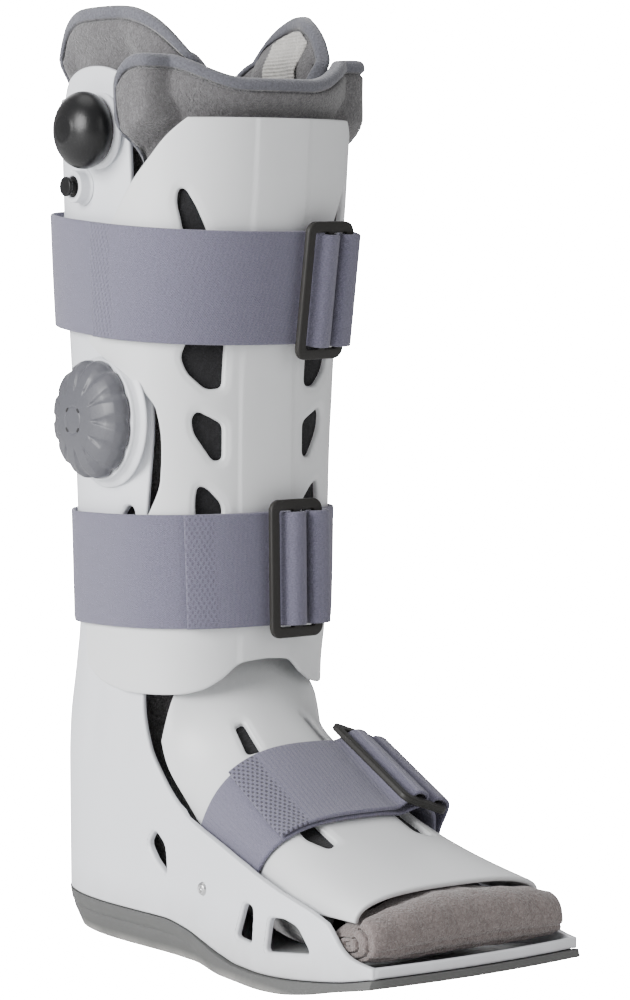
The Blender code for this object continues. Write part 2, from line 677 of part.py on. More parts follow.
def make_rear_shell(collection, cutters):
    """Tray, heel cup and back upright in one moulding: walls, floor and toe lip, then the wall's thickness."""
    wall_shares = (0.094, 0.120, 0.145, 0.171, 0.200, 0.240, 0.285, 0.340, 0.380, 0.430, 0.520, 0.640, 0.790, 0.900)
    rows = []
    for share in wall_shares:
        height = share * LEG_TOP
        x, y = shell_ring(height, lip=False)
        rows.append(np.stack([x, y, np.full_like(x, height)], -1))
    x, y = shell_ring(LEG_TOP, lip=False)
    rows.append(np.stack([x, y, shell_top(y)], -1))
    x, y = shell_ring(HEEL_SOLE, lip=True)
    seam = np.stack([x, y, sole_top(-y)], -1)
    lip = np.stack([x, y, sole_top(-y) + LIP_HEIGHT], -1)
    rows = np.stack([seam, lip, *rows])
    count, around = rows.shape[:2]
    faces = grid_faces(count, around)

    turns = np.linspace(-1.0, 1.0, 9)[1:-1]
    front_x = rows[0, -1, 0] * turns
    front_y = -(TOE_REACH + TOE_BOW * (1.0 - turns**2))
    fronts = np.stack([np.stack([front_x, front_y, sole_top(-front_y) + rise], -1) for rise in (0.0, LIP_HEIGHT)])
    first = count * around
    inner = len(turns)
    low = [0, *range(first, first + inner), around - 1]
    high = [around, *range(first + inner, first + 2 * inner), 2 * around - 1]
    for i in range(inner + 1):
        faces.append((low[i + 1], low[i], high[i], high[i + 1]))
    middle = (around - 1) // 2
    for i in range(middle):
        corners = dict.fromkeys((i, i + 1, around - 2 - i, around - 1 - i))
        faces.append(tuple(corners)[::-1])
    for i in range((inner + 1) // 2):
        corners = dict.fromkeys((low[i], low[i + 1], low[inner - i], low[inner + 1 - i]))
        faces.append(tuple(corners))
    points = np.concatenate([rows.reshape(-1, 3), fronts.reshape(-1, 3)])
    shell = mesh_object("rear_shell", points, faces, "shell_white", collection, flip=True)
    add_wall(shell, SHELL_WALL)

    def side_surface(side):
        def surface(forward, height, offset):
            half = shell_half_width(forward, height) + offset
            return np.stack([side * half, -forward, height], -1)
        return surface

    for side, word in ((-1, "near"), (1, "far")):
        for vent, corners in SIDE_VENTS.items():
            cutter = vent_cutter(f"{word}_{vent}_cutter", np.array(corners), side_surface(side), 0.004, 0.008, cutters)
            add_cut(shell, cutter)
        hole = rod(f"{word}_rivet_cutter", SIDE_RIVET_RADIUS * 0.6 + GAP, SHELL_WALL * 6, side_seat(side), cutters)
        add_cut(shell, guide(hole))

    seat = dial_seat()
    neck = DIAL_RADIUS - DIAL_BOSS_NARROWER
    lip = DIAL_RADIUS + DIAL_LIP
    lip_low = PANEL_WALL + PANEL_GAP + 0.0004
    boss_profile = [(0.0, DIAL_BOSS_RISE), (lip, DIAL_BOSS_RISE), (lip, lip_low), (neck, lip_low),
                    (neck, -SHELL_WALL * 0.5), (0.0, -SHELL_WALL * 0.5)]
    boss = turned("dial_boss", boss_profile, 28, seat, Vector((-1, 0, 0)), None, cutters)
    add_cut(shell, guide(boss), "UNION")
    pin_profile = [(0.0, DIAL_BOSS_RISE + DIAL_PIN_LENGTH), (DIAL_PIN_RADIUS, DIAL_BOSS_RISE + DIAL_PIN_LENGTH),
                   (DIAL_PIN_RADIUS, 0.0), (0.0, 0.0)]
    pin = turned("dial_pin", pin_profile, 12, seat, Vector((-1, 0, 0)), None, cutters)
    add_cut(shell, guide(pin), "UNION")
    return shell


def rod(name, radius, length, centre, collection, material=None, sides=16):
    """A plain round bar along X."""
    half = length / 2
    profile = [(0.0, half), (radius, half), (radius, -half), (0.0, -half)]
    return turned(name, profile, sides, centre, Vector((1, 0, 0)), material, collection)


def side_seat(side):
    """Where the low rivet passes through the side wall."""
    half = float(shell_half_width(SIDE_RIVET_FORWARD, SIDE_RIVET_HEIGHT))
    return Vector((side * half, -SIDE_RIVET_FORWARD, SIDE_RIVET_HEIGHT))


def dial_seat():
    """The middle of the dial's boss, on the shell's near side."""
    half, _, _ = leg_size(DIAL_HEIGHT, SHELL_INSET)
    return Vector((-float(half), 0.0, DIAL_HEIGHT))


def panel_rows():
    """Grid of the shin panel: rows of constant height between the skirt's edge and the top edge."""
    sides = np.linspace(-1.0, 1.0, 23)
    skirt = SKIRT_BOTTOM + SKIRT_NOTCH * along(SKIRT_ROWS, "turn", "rise", np.abs(sides))
    shares = [row.height for row in PANEL_EDGE[1:]]
    rows = []
    wrap = turn_at(CALF_FRONT * PANEL_EDGE[0].forward, skirt)
    rows.append(leg_point(sides * wrap, skirt))
    for share in shares:
        height = share * SHIN_PANEL_TOP
        forward = CALF_FRONT * along(PANEL_EDGE, "height", "forward", share)
        rows.append(leg_point(sides * turn_at(forward, height), np.full_like(sides, height)))
    return np.stack(rows)


def make_shin_panel(collection, cutters):
    """Front cover: a sheet wrapped round the leg, with its vents cut through."""
    panel = grid_object("shin_panel", panel_rows(), "panel_white", collection)
    add_wall(panel, PANEL_WALL)

    def surface(girth, height, offset):
        turn = np.array([turn_at_girth(abs(g), h) * np.sign(g) for g, h in zip(girth, height)])
        return leg_point(turn, height, offset)

    for side, word in ((-1, "near"), (1, "far")):
        for vent, corners in SHIN_VENTS.items():
            outline = np.array(corners) * (side, 1.0)
            cutter = vent_cutter(f"{word}_{vent}_vent", outline, surface, 0.003, 0.006, cutters)
            add_cut(panel, cutter)
    return panel


def make_instep_panel(collection, cutters):
    """Arch over the instep, open below, with two pairs of vents."""
    turns = np.linspace(-math.pi / 2, math.pi / 2, 19)
    shares = np.linspace(0.0, 1.0, 11)
    points = instep_point(turns[None, :], shares[:, None])
    panel = grid_object("instep_panel", points, "panel_white", collection, flip=True)
    add_wall(panel, PANEL_WALL)

    def surface(turn, share, offset):
        return instep_point(np.radians(turn), share, offset)

    for side, word in ((-1, "near"), (1, "far")):
        for vent, corners in INSTEP_VENTS.items():
            outline = np.array(corners) * (side, 1.0)
            cutter = vent_cutter(f"{word}_{vent}_slot", outline, surface, 0.003, 0.006, cutters)
            add_cut(panel, cutter)
    return panel


def make_pads(collection):
    """Black pads just inside the two panels."""
    sides = np.linspace(-1.0, 1.0, 13)
    heights = np.array([*SOFT_ROWS, SOFT_ROWS[-1] + 0.007])
    room = EDGE_ROOM * (1.0 + 3.0 * smooth_step(SOFT_ROWS[-2], SOFT_ROWS[-1], heights))
    forward = np.maximum(shell_edge(heights), panel_edge(heights)) + room
    wrap = turn_at(forward, heights)
    points = leg_point(sides[None, :] * wrap[:, None], heights[:, None], -SHELL_INSET)
    shin = grid_object("shin_pad", points, "pad_black", collection)
    add_wall(shin, PAD_WALL)
    turns = np.linspace(-1.0, 1.0, 13) * math.radians(60)
    shares = np.linspace(0.1, 0.8, 8)
    points = instep_point(turns[None, :], shares[:, None], -PANEL_WALL - PANEL_GAP)
    instep = grid_object("instep_pad", points, "pad_black", collection, flip=True)
    add_wall(instep, PAD_WALL)


def flap_top(side):
    """Top edge of the front flap: a shallow dip between two corners, falling away at the sides."""
    rise = smooth_step(0.15, 0.74, np.abs(side)) - 1.9 * smooth_step(0.80, 1.15, np.abs(side))
    return FLAP_TOP + FLAP_CORNER_RISE * rise


def make_front_flap(collection):
    """Plush tongue inside the shin panel, which stands above it and flares over the shell's edge."""
    sides = np.linspace(-1.0, 1.0, 19)
    shares = np.array([0.16, 0.42, 0.70, 1.0])
    top = flap_top(sides)
    low = np.broadcast_to(np.array(SOFT_ROWS)[:, None], (len(SOFT_ROWS), len(sides)))
    height = np.concatenate([low, SOFT_ROWS[-1] + (top[None, :] - SOFT_ROWS[-1]) * shares[:, None]])
    above = smooth_step(SHIN_PANEL_TOP - 0.032, SHIN_PANEL_TOP - 0.002, height)
    late = smooth_step(SHIN_PANEL_TOP - 0.012, SHIN_PANEL_TOP, height)
    edge = shell_edge(height) + EDGE_ROOM - (EDGE_ROOM - 0.0014) * late
    turn = sides[None, :] * turn_at(edge, height)
    panel = turn_at(panel_edge(height), height)
    beyond = smooth_step(panel + math.radians(6), panel + math.radians(15), np.abs(turn))
    over = smooth_step(SHIN_PANEL_TOP, SHIN_PANEL_TOP + 0.012, height)
    flare = FLAP_FLARE * np.maximum(above * beyond, over * 0.35)
    points = leg_point(turn, height, -FLAP_INSET + flare)
    flap = grid_object("front_flap", points, "plush_grey", collection)
    add_wall(flap, FLAP_WALL)


def sole_profile():
    """The liner's outer line in the centre plane: along the floor, round the heel and up the back."""
    inset = SHELL_INSET + SHELL_WALL + LINER_GAP
    round_heel = 0.020
    back = leg_size(HEEL_SOLE + SHELL_WALL + round_heel, inset)[2]
    floor_y = np.linspace(-LINER_TOE, back - round_heel, 24)
    floor_z = sole_top(-floor_y) + SHELL_WALL + LINER_GAP * 0.7
    arc = np.linspace(0.0, math.pi / 2, 7)[1:-1]
    arc_y = back - round_heel + round_heel * np.sin(arc)
    arc_z = floor_z[-1] + round_heel * (1.0 - np.cos(arc))
    up_z = np.linspace(floor_z[-1] + round_heel, FLAP_BOTTOM - 0.010, 8)
    up_y = leg_size(up_z, inset)[2]
    points = np.stack([np.concatenate([floor_y, arc_y, up_y]), np.concatenate([floor_z, arc_z, up_z])], -1)
    lengths = np.concatenate([[0.0], np.cumsum(np.linalg.norm(np.diff(points, axis=0), axis=1))])
    return points, lengths / lengths[-1]


def liner_ring(row, turns):
    """One section of the liner between the instep and the sole or heel."""
    profile, lengths = sole_profile()
    far = np.array([np.interp(row.far, lengths, profile[:, i]) for i in (0, 1)])
    near = instep_point(0.0, row.along, -PANEL_WALL - PAD_WALL - PANEL_GAP - LINER_GAP)[1:]
    slim = float(instep_half_width(row.along)) - PANEL_WALL - LINER_GAP
    wide = leg_size(HEEL_SOLE, SHELL_INSET)[0] - SHELL_WALL - LINER_GAP
    across = signed_power(np.sin(turns), 2.0 / HEEL_ROUNDNESS)
    down = 0.5 - 0.5 * signed_power(np.cos(turns), 2.0 / HEEL_ROUNDNESS)
    half = slim + (wide - slim) * row.heel_share * smooth_step(0.45, 0.80, down)
    y = near[0] + (far[0] - near[0]) * down
    z = near[1] + (far[1] - near[1]) * down
    return np.stack([half * across, y, z], -1)


def liner_inset(turn, height):
    """How far inside the leg's surface the liner's outer face lies: deep behind the flap, less at the back."""
    edge = turn_at(shell_edge(height), height)
    behind = smooth_step(edge + math.radians(6), edge + math.radians(22), np.abs(turn))
    tuck = ANKLE_TUCK * (1.0 - smooth_step(FLAP_BOTTOM, FLAP_BOTTOM + 0.045, height)) * (1.0 - behind)
    return LINER_FRONT_INSET + (LINER_BACK_INSET - LINER_FRONT_INSET) * behind + tuck


def wing_flare(turn, height):
    """How far the liner leans out above the shell's top edge."""
    above = height - shell_top(leg_point(turn, LEG_TOP)[..., 1])
    return WING_FLARE * smooth_step(0.003, 0.018, above)


def liner_leg_rows(turns, shares):
    """Leg part of the liner, from above the ankle to its winged top edge."""
    top = LINER_BACK_TOP + WING_RISE * along(WING_ROWS, "turn", "rise", np.degrees(turns))
    bottom = FLAP_BOTTOM
    height = bottom + (top[None, :] - bottom) * shares[:, None]
    turn = np.broadcast_to(turns, height.shape)
    return leg_point(turn, height, wing_flare(turn, height) - liner_inset(turn, height))


def make_liner(collection):
    """Plush boot sleeve, open at the top and at the toes: foot sections, ankle fan and leg in one tube."""
    turns = np.linspace(-math.pi, math.pi, LINER_COLUMNS + 1)[:-1]
    foot = [liner_ring(row, turns) for row in LINER_ROWS]
    leg = liner_leg_rows(turns, np.array(LINER_LEG_SHARES))
    rings = np.concatenate([np.stack(foot), leg])
    liner = grid_object("liner", rings, "plush_grey", collection, close_round=True)
    add_wall(liner, LINER_WALL)


def make_hook_patch(collection):
    """Ribbed patch on the inner face of the far wing, laid on the liner's own facets."""
    turns = 2.0 * math.pi / LINER_COLUMNS * np.array(PATCH_COLUMNS)
    facets = liner_leg_rows(turns, np.array(LINER_LEG_SHARES))
    shares = np.linspace(0.0, 1.0, 4)
    rows = np.zeros((len(shares), len(turns), 3))
    for column, turn in enumerate(turns):
        top = facets[-1, column, 2]
        height = LINER_BACK_TOP + PATCH_RISE + (top - PATCH_RIM - LINER_BACK_TOP - PATCH_RISE) * shares
        for axis in range(3):
            rows[:, column, axis] = np.interp(height, facets[:, column, 2], facets[:, column, axis])
        out = leg_point(turn, height, 1.0) - leg_point(turn, height)
        rows[:, column] -= out * (LINER_WALL + PATCH_GAP)
    patch = grid_object("hook_patch", rows, "patch_light", collection)
    add_wall(patch, PATCH_WALL)


def make_toe_roll(collection):
    """Rolled plush that closes the toes, bulging out under the instep panel's end."""
    around = np.linspace(0.0, 2.0 * math.pi, 21)[:-1]
    ends = np.sin(np.linspace(-math.pi / 2, math.pi / 2, 13))
    rings = []
    for end in ends:
        x = ROLL_HALF_LENGTH * end
        slim = max(1.0 - abs(end) ** 5, 0.0) ** 0.3
        slim = 0.45 + 0.55 * slim
        under = np.interp(abs(x), [0.0, ROLL_HALF_LENGTH], [0.0, 1.0])
        crown = instep_column(1.0, "crown_height", INSTEP_TOP)
        edge = instep_column(1.0, "edge_height", INSTEP_TOP)
        roof = crown + (edge - crown) * under**2.2 - PANEL_WALL - 2 * GAP
        floor = float(sole_top(TOE_REACH)) + SHELL_WALL + 2 * GAP
        middle_y = -(ROLL_FRONT + ROLL_BACK) / 2
        middle_z = (roof + floor) / 2
        y = middle_y + (ROLL_FRONT - ROLL_BACK) / 2 * slim * signed_power(np.cos(around), 0.75)
        z = middle_z + (roof - floor) / 2 * slim * signed_power(np.sin(around), 0.75)
        rings.append(np.stack([np.full_like(y, x), y, z], -1))
    closed_loft("toe_roll", np.stack(rings), "plush_grey", collection)


def layer(number):
    """Height of the middle of a webbing layer above what it lies on."""
    return STRAP_GAP + STRAP_WALL / 2 + number * (STRAP_WALL + LAYER_GAP)


class LegBand:
    """The way of a webbing band round the leg: turn and height above the surface give a place."""

    def __init__(self, height, tilt, buckle_turn, sink):
        self.sink = sink
        self.height = height
        self.tilt = tilt
        self.buckle_turn = buckle_turn
        low, middle, high = (self.place(buckle_turn, 0.0, v) for v in (-STRAP_WIDTH / 2, 0.0, STRAP_WIDTH / 2))
        ahead = self.place(buckle_turn + 0.02, 0.0, 0.0) - self.place(buckle_turn - 0.02, 0.0, 0.0)
        self.frame = frame_matrix(Vector(middle), Vector(ahead), Vector(high - low))

    def place(self, turn, above, across):
        ring = leg_point(turn, self.height + across)
        height = self.height + self.tilt * ring[..., 1] + across
        return leg_point(turn, height, above)

    def turn_beside(self, distance):
        """The turn that lies this far along the band from the buckle's middle."""
        girth = np.linspace(-0.06, 0.06, 121)
        turns = self.buckle_turn + girth / float(leg_size(self.height)[0])
        points = self.place(turns, 0.0, 0.0)
        lengths = np.concatenate([[0.0], np.cumsum(np.linalg.norm(np.diff(points, axis=0), axis=1))])
        lengths -= np.interp(self.buckle_turn, turns, lengths)
        return float(np.interp(distance, lengths, turns))

    def ring_points(self, start, end, above, step=math.radians(9)):
        """Places from one turn to another, down on the shell's face between the shin panel's side edges."""
        low, high = sorted((start, end))
        inner = np.arange(math.ceil(low / step + 0.2), math.floor(high / step - 0.2) + 1) * step
        turns = np.concatenate([[low], inner, [high]])
        turns = turns if start < end else turns[::-1]
        from_back = np.abs((turns - math.pi) % (2.0 * math.pi))
        from_back = np.minimum(from_back, 2.0 * math.pi - from_back)
        sunk = self.sink * (1.0 - smooth_step(math.radians(58), math.radians(72), from_back))
        return [(turn, above - drop) for turn, drop in zip(turns, sunk)]


class InstepBand(LegBand):
    """The way of the foot strap: turns from the crown, and past the panel's edge straight down inside the wall."""

    def __init__(self, forward, slope, buckle_turn):
        self.sink = 0.0
        self.axis = Vector((0.0, -1.0, -slope)).normalized()
        shares = np.linspace(0.0, 1.0, 201)
        crown = instep_point(0.0, shares)
        share = float(np.interp(forward, -crown[:, 1], shares))
        self.origin = Vector(instep_point(0.0, share))
        self.buckle_turn = buckle_turn
        self.height = self.origin.z
        middle = self.place(buckle_turn, 0.0, 0.0)
        ahead = self.place(buckle_turn + 0.02, 0.0, 0.0) - self.place(buckle_turn - 0.02, 0.0, 0.0)
        self.frame = frame_matrix(Vector(middle), Vector(ahead), -self.axis)

    def place(self, turn, above, across):
        turn, above, across = np.broadcast_arrays(turn, above, across)
        flat = [self.place_one(*values) for values in zip(turn.ravel(), above.ravel(), across.ravel())]
        return np.array(flat).reshape((*turn.shape, 3))

    def place_one(self, turn, above, across):
        """The surface point at this turn whose place along the foot is `across` from the band's middle."""
        shares = np.linspace(0.0, 1.0, 101)
        limit = math.pi / 2 - 0.02
        inside = float(np.clip(turn, -limit, limit))
        points = instep_point(inside, shares)
        places = (points - np.array(self.origin)) @ -np.array(self.axis)
        share = float(np.interp(-across, -places, shares))
        point = instep_point(inside, share, above)
        past = abs(turn) - abs(inside)
        down = np.array(self.axis.cross(Vector((1, 0, 0))))
        down = down if down[2] < 0 else -down
        return point + down * past * 0.03


def ribbon(name, band, way, material, collection):
    """Webbing: a list of places along it, each (turn, above) on the band or (x, above) in the buckle's frame."""
    rows = []
    for across in (-STRAP_WIDTH / 2, 0.0, STRAP_WIDTH / 2):
        row = []
        for kind, first, second in way:
            if kind == "band":
                row.append(band.place(first, second, across))
            else:
                row.append(np.array(band.frame @ Vector((first, across, second))))
        rows.append(np.stack(row))
    strap = grid_object(name, np.stack(rows), material, collection)
    wall = strap.modifiers.new("wall", "SOLIDIFY")
    wall.thickness = STRAP_WALL
    wall.offset = 0.0
    wall.use_even_offset = True
    return strap


def frame_lift(band):
    """Height of the bars' middle over the buckle's plane, so that the outer bar clears both layers."""
    turns = [band.turn_beside(distance) for distance in np.linspace(-BAR_PITCH - BAR_WIDTH, -BAR_PITCH + BAR_WIDTH, 5)]
    to_frame = band.frame.inverted()
    tops = [to_frame @ Vector(band.place(turn, layer(1) + LAYER_GAP, across))
            for turn in turns for across in np.linspace(-STRAP_WIDTH / 2, STRAP_WIDTH / 2, 7)]
    over_layers = max(top.z for top in tops) + STRAP_WALL / 2 + LOOP_GAP * 2.9 + BAR_WALL / 2
    over_loop = layer(0) + STRAP_WALL / 2 + LOOP_GAP + BAR_WALL / 2
    return max(over_layers, over_loop)


def half_turn(centre_x, lift, reach, height, start, end, count=5):
    """Places round the end of a bar, in the buckle's frame, by angle from straight out."""
    angles = np.radians(np.linspace(start, end, count))
    out = reach * signed_power(np.sin(angles), 0.6)
    up = height * signed_power(np.cos(angles), 0.6)
    return [("frame", centre_x + x, lift + z) for x, z in zip(out, up)]


def make_band_set(prefix, band, anchor, free_end, tab_anchor, collection):
    """Main strap, tab, three-bar buckle and rivets of one band."""
    lift = frame_lift(band)
    reach = MIDDLE_BAR_WIDTH / 2 + LOOP_GAP + STRAP_WALL / 2
    height = BAR_WALL / 2 + LOOP_GAP + STRAP_WALL / 2
    before = band.turn_beside(-BAR_PITCH * 0.55)
    outer = band.turn_beside(-BAR_PITCH - BAR_WIDTH * 0.9)
    way = [("band", *place) for place in band.ring_points(anchor, before, layer(0))]
    way += half_turn(0.0, lift, reach, height, 155, 25)
    way += [("frame", -MIDDLE_BAR_WIDTH * 0.7, lift + height)]
    inner = band.turn_beside(-BAR_PITCH + BAR_WIDTH * 0.62)
    way += [("band", inner, layer(1) + LAYER_GAP)]
    way += [("band", *place) for place in band.ring_points(outer, free_end, layer(1))]
    ribbon(f"{prefix}_strap", band, way, "webbing_grey", collection)

    tab_reach = BAR_WIDTH / 2 + LOOP_GAP + STRAP_WALL / 2
    after = band.turn_beside(BAR_PITCH + BAR_WIDTH * 1.6)
    stitched = band.turn_beside(BAR_PITCH + BAR_WIDTH * 3.2)
    way = [("band", *place) for place in band.ring_points(tab_anchor, after, layer(0))]
    way += half_turn(BAR_PITCH, lift, -tab_reach, height, 165, 10)
    way += [("frame", BAR_PITCH + BAR_WIDTH * 0.6, lift + height)]
    way += [("band", *place) for place in band.ring_points(band.turn_beside(BAR_PITCH + BAR_WIDTH * 2.1),
                                                            stitched, layer(1))]
    ribbon(f"{prefix}_tab", band, way, "webbing_grey", collection)
    make_buckle(f"{prefix}_buckle", band.frame @ Matrix.Translation((0, 0, lift)), collection)


def box_outline(left, right, low, high, corner):
    """A rectangle with rounded corners as a closed run of points."""
    points = []
    for x, y, start in ((right, high, 0), (left, high, 90), (left, low, 180), (right, low, 270)):
        centre_x = x - math.copysign(corner, x - (left + right) / 2)
        centre_y = y - math.copysign(corner, y - (low + high) / 2)
        for angle in np.radians(np.linspace(start, start + 90, 4)):
            points.append((centre_x + corner * math.cos(angle), centre_y + corner * math.sin(angle)))
    return points


def make_buckle(name, matrix, collection):
    """Flat three-bar frame: a rounded plate with two windows."""
    half_high = STRAP_WIDTH / 2 + GAP * 2
    left = -BAR_PITCH - BAR_WIDTH / 2
    right = BAR_PITCH + BAR_WIDTH / 2
    outlines = [box_outline(left, right, -half_high - BAR_WIDTH, half_high + BAR_WIDTH, FRAME_CORNER)]
    windows = ((left + BAR_WIDTH, -MIDDLE_BAR_WIDTH / 2), (MIDDLE_BAR_WIDTH / 2, right - BAR_WIDTH))
    for low_x, high_x in windows:
        outlines.append(box_outline(low_x, high_x, -half_high, half_high, BAR_WIDTH * 0.15))
    curve = bpy.data.curves.new(name, "CURVE")
    curve.dimensions = "2D"
    curve.fill_mode = "BOTH"
    curve.extrude = BAR_WALL / 2
    for outline in outlines:
        spline = curve.splines.new("POLY")
        spline.points.add(len(outline) - 1)
        for point, (x, y) in zip(spline.points, outline):
            point.co = (x, y, 0.0, 1.0)
        spline.use_cyclic_u = True
    buckle = place_object(name, curve, "buckle_grey", collection)
    buckle.matrix_world = matrix
    weld = buckle.modifiers.new("weld", "WELD")
    weld.merge_threshold = 1e-5


def make_strap_rivet(name, band, turn, collection):
    """Low dome over the webbing at its anchored end."""
    above = layer(0) + STRAP_WALL / 2 + GAP
    base = Vector(band.place(turn, above, 0.0))
    out = Vector(band.place(turn, above + 0.01, 0.0)) - base
    profile = [(0.0, RIVET_HEAD), (RIVET_RADIUS * 0.6, RIVET_HEAD * 0.85), (RIVET_RADIUS, 0.0), (0.0, 0.0)]
    turned(name, profile, 14, base, out, "rivet_metal", collection)


def make_straps(collection):
    """Three bands: two round the leg, one over the instep."""
    upper = LegBand(UPPER_STRAP_HEIGHT, UPPER_STRAP_TILT, math.radians(375.0), 0.0)
    lower = LegBand(LOWER_STRAP_HEIGHT, LOWER_STRAP_TILT, math.radians(365.5), SHELL_INSET)
    far_anchor = math.radians(112.0)
    tab_anchor = math.radians(360.0 + 100.0)
    rivet_inset = math.radians(6.0)
    for prefix, band, free_end in (("upper", upper, 272.0), ("lower", lower, 320.0)):
        make_band_set(prefix, band, far_anchor, math.radians(free_end), tab_anchor, collection)
        make_strap_rivet(f"{prefix}_strap_rivet", band, far_anchor + rivet_inset, collection)
        make_strap_rivet(f"{prefix}_tab_rivet", band, tab_anchor - rivet_inset, collection)
    foot = InstepBand(FOOT_STRAP_FORWARD, FOOT_STRAP_SLOPE, math.radians(30.0))
    down = math.pi / 2 + 0.15
    make_band_set("foot", foot, -down, math.radians(-50.0), down, collection)


def make_bulb(collection):
    """Squeeze bulb on its collar."""
    half, _, _ = leg_size(BULB_HEIGHT, SHELL_INSET)
    seat = Vector((-float(half) - GAP, -BULB_FORWARD, BULB_HEIGHT))
    near = Vector((-1, 0, 0))
    collar = [(0.0, FLANGE_WALL), (FLANGE_RADIUS * 0.93, FLANGE_WALL), (FLANGE_RADIUS, FLANGE_WALL * 0.5),
              (FLANGE_RADIUS, 0.0), (0.0, 0.0)]
    turned("bulb_flange", collar, 28, seat, near, "shell_white", collection)
    start = FLANGE_WALL + GAP
    low = -math.asin(BULB_SINK / BULB_HALF_DEPTH)
    angles = np.linspace(math.pi / 2, low, 8)
    dome = [(BULB_RADIUS * math.cos(a), start + BULB_SINK + BULB_HALF_DEPTH * math.sin(a)) for a in angles]
    dome[0] = (0.0, dome[0][1])
    dome.append((0.0, start))
    turned("pump_bulb", dome, 24, seat, near, "bulb_black", collection)


def make_release_valve(collection):
    """White collar with the black press button in its bore."""
    half, _, _ = leg_size(VALVE_HEIGHT, SHELL_INSET)
    seat = Vector((-float(half) - GAP, VALVE_BACK, VALVE_HEIGHT))
    near = Vector((-1, 0, 0))
    collar = [(VALVE_BORE, VALVE_LENGTH), (VALVE_RADIUS, VALVE_LENGTH), (VALVE_RADIUS, 0.0),
              (VALVE_BORE, 0.0), (VALVE_BORE, VALVE_LENGTH)]
    valve = turned("release_valve", collar, 20, seat, near, "shell_white", collection)
    valve.modifiers.new("close", "WELD").merge_threshold = 1e-5
    flange = VALVE_BORE - GAP * 1.2
    top = VALVE_LENGTH - 0.0002
    base = BUTTON_TRAVEL + GAP
    cap_low = top + BUTTON_TRAVEL + 0.0004
    cap_top = cap_low + BUTTON_CAP_LENGTH
    button = [(0.0, cap_top), (BUTTON_CAP_RADIUS * 0.8, cap_top), (BUTTON_CAP_RADIUS, cap_top - 0.0008),
              (BUTTON_CAP_RADIUS, cap_low), (BUTTON_STEM_RADIUS, cap_low), (BUTTON_STEM_RADIUS, top),
              (flange, top), (flange, base), (0.0, base)]
    turned("release_button", button, 20, seat, near, "bulb_black", collection)


def make_dial(collection):
    """Domed selector with a scalloped rim, bored for the shell's pin. Its origin is on the pin's axis."""
    seat = dial_seat() + Vector((-DIAL_BOSS_RISE - GAP, 0.0, 0.0))
    around = np.linspace(0.0, 2.0 * math.pi, 36, endpoint=False)
    notch = 0.5 + 0.5 * np.cos(DIAL_NOTCHES * around)
    profile = ((1.0, 0.0, 0.6), (1.0, 0.22, 1.0), (0.93, 0.48, 1.0), (0.78, 0.72, 0.7), (0.52, 0.90, 0.3),
               (0.22, 0.99, 0.0))
    rings = []
    for radius, rise, share in profile:
        r = DIAL_RADIUS * radius - DIAL_NOTCH_DEPTH * share * notch**3
        x = np.full_like(r, -DIAL_LENGTH * rise)
        rings.append(np.stack([x, r * np.cos(around), r * np.sin(around)], -1))
    dial = closed_loft("dial", np.stack(rings), "dial_grey", collection)
    dial.location = seat
    return dial


def make_side_rivets(collection):
    """Low rivets through the side walls, which hold the foot strap's ends."""
    for side, word in ((-1, "near"), (1, "far")):
        seat = side_seat(side)
        out = Vector((side, 0, 0))
        shank = SIDE_RIVET_RADIUS * 0.6
        base = SIDE_RIVET_RADIUS * 0.35
        head = [(0.0, base + RIVET_HEAD * 0.6), (SIDE_RIVET_RADIUS * 0.5, base + RIVET_HEAD),
                (SIDE_RIVET_RADIUS, base + RIVET_HEAD * 0.6), (SIDE_RIVET_RADIUS, base),
                (shank, base), (shank, -SHELL_WALL), (0.0, -SHELL_WALL)]
        turned(f"{word}_side_rivet", head, 16, seat, out, "rivet_metal", collection)


def bore_dial(dial, cutters):
    """Blind bore in the dial's back for the pin."""
    radius = DIAL_PIN_RADIUS + DIAL_PIN_CLEARANCE
    depth = DIAL_PIN_LENGTH + GAP
    profile = [(0.0, depth), (radius, depth), (radius, -0.004), (0.0, -0.004)]
    bore = turned("dial_bore", profile, 12, dial.location, Vector((-1, 0, 0)), None, cutters)
    add_cut(dial, guide(bore))


def build():
    for obj in list(bpy.data.objects):
        bpy.data.objects.remove(obj)
    boot = bpy.data.collections.new("walking_boot")
    cutters = bpy.data.collections.new("cutters")
    for collection in (boot, cutters):
        bpy.context.scene.collection.children.link(collection)
    make_outsole(boot)
    make_rear_shell(boot, cutters)
    make_shin_panel(boot, cutters)
    make_instep_panel(boot, cutters)
    make_pads(boot)
    make_front_flap(boot)
    make_liner(boot)
    make_hook_patch(boot)
    make_toe_roll(boot)
    make_straps(boot)
    make_bulb(boot)
    make_release_valve(boot)
    bore_dial(make_dial(boot), cutters)
    make_side_rivets(boot)


build()
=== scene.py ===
import math
from collections import namedtuple

import bmesh
import bpy
import numpy as np
from mathutils import Matrix, Vector


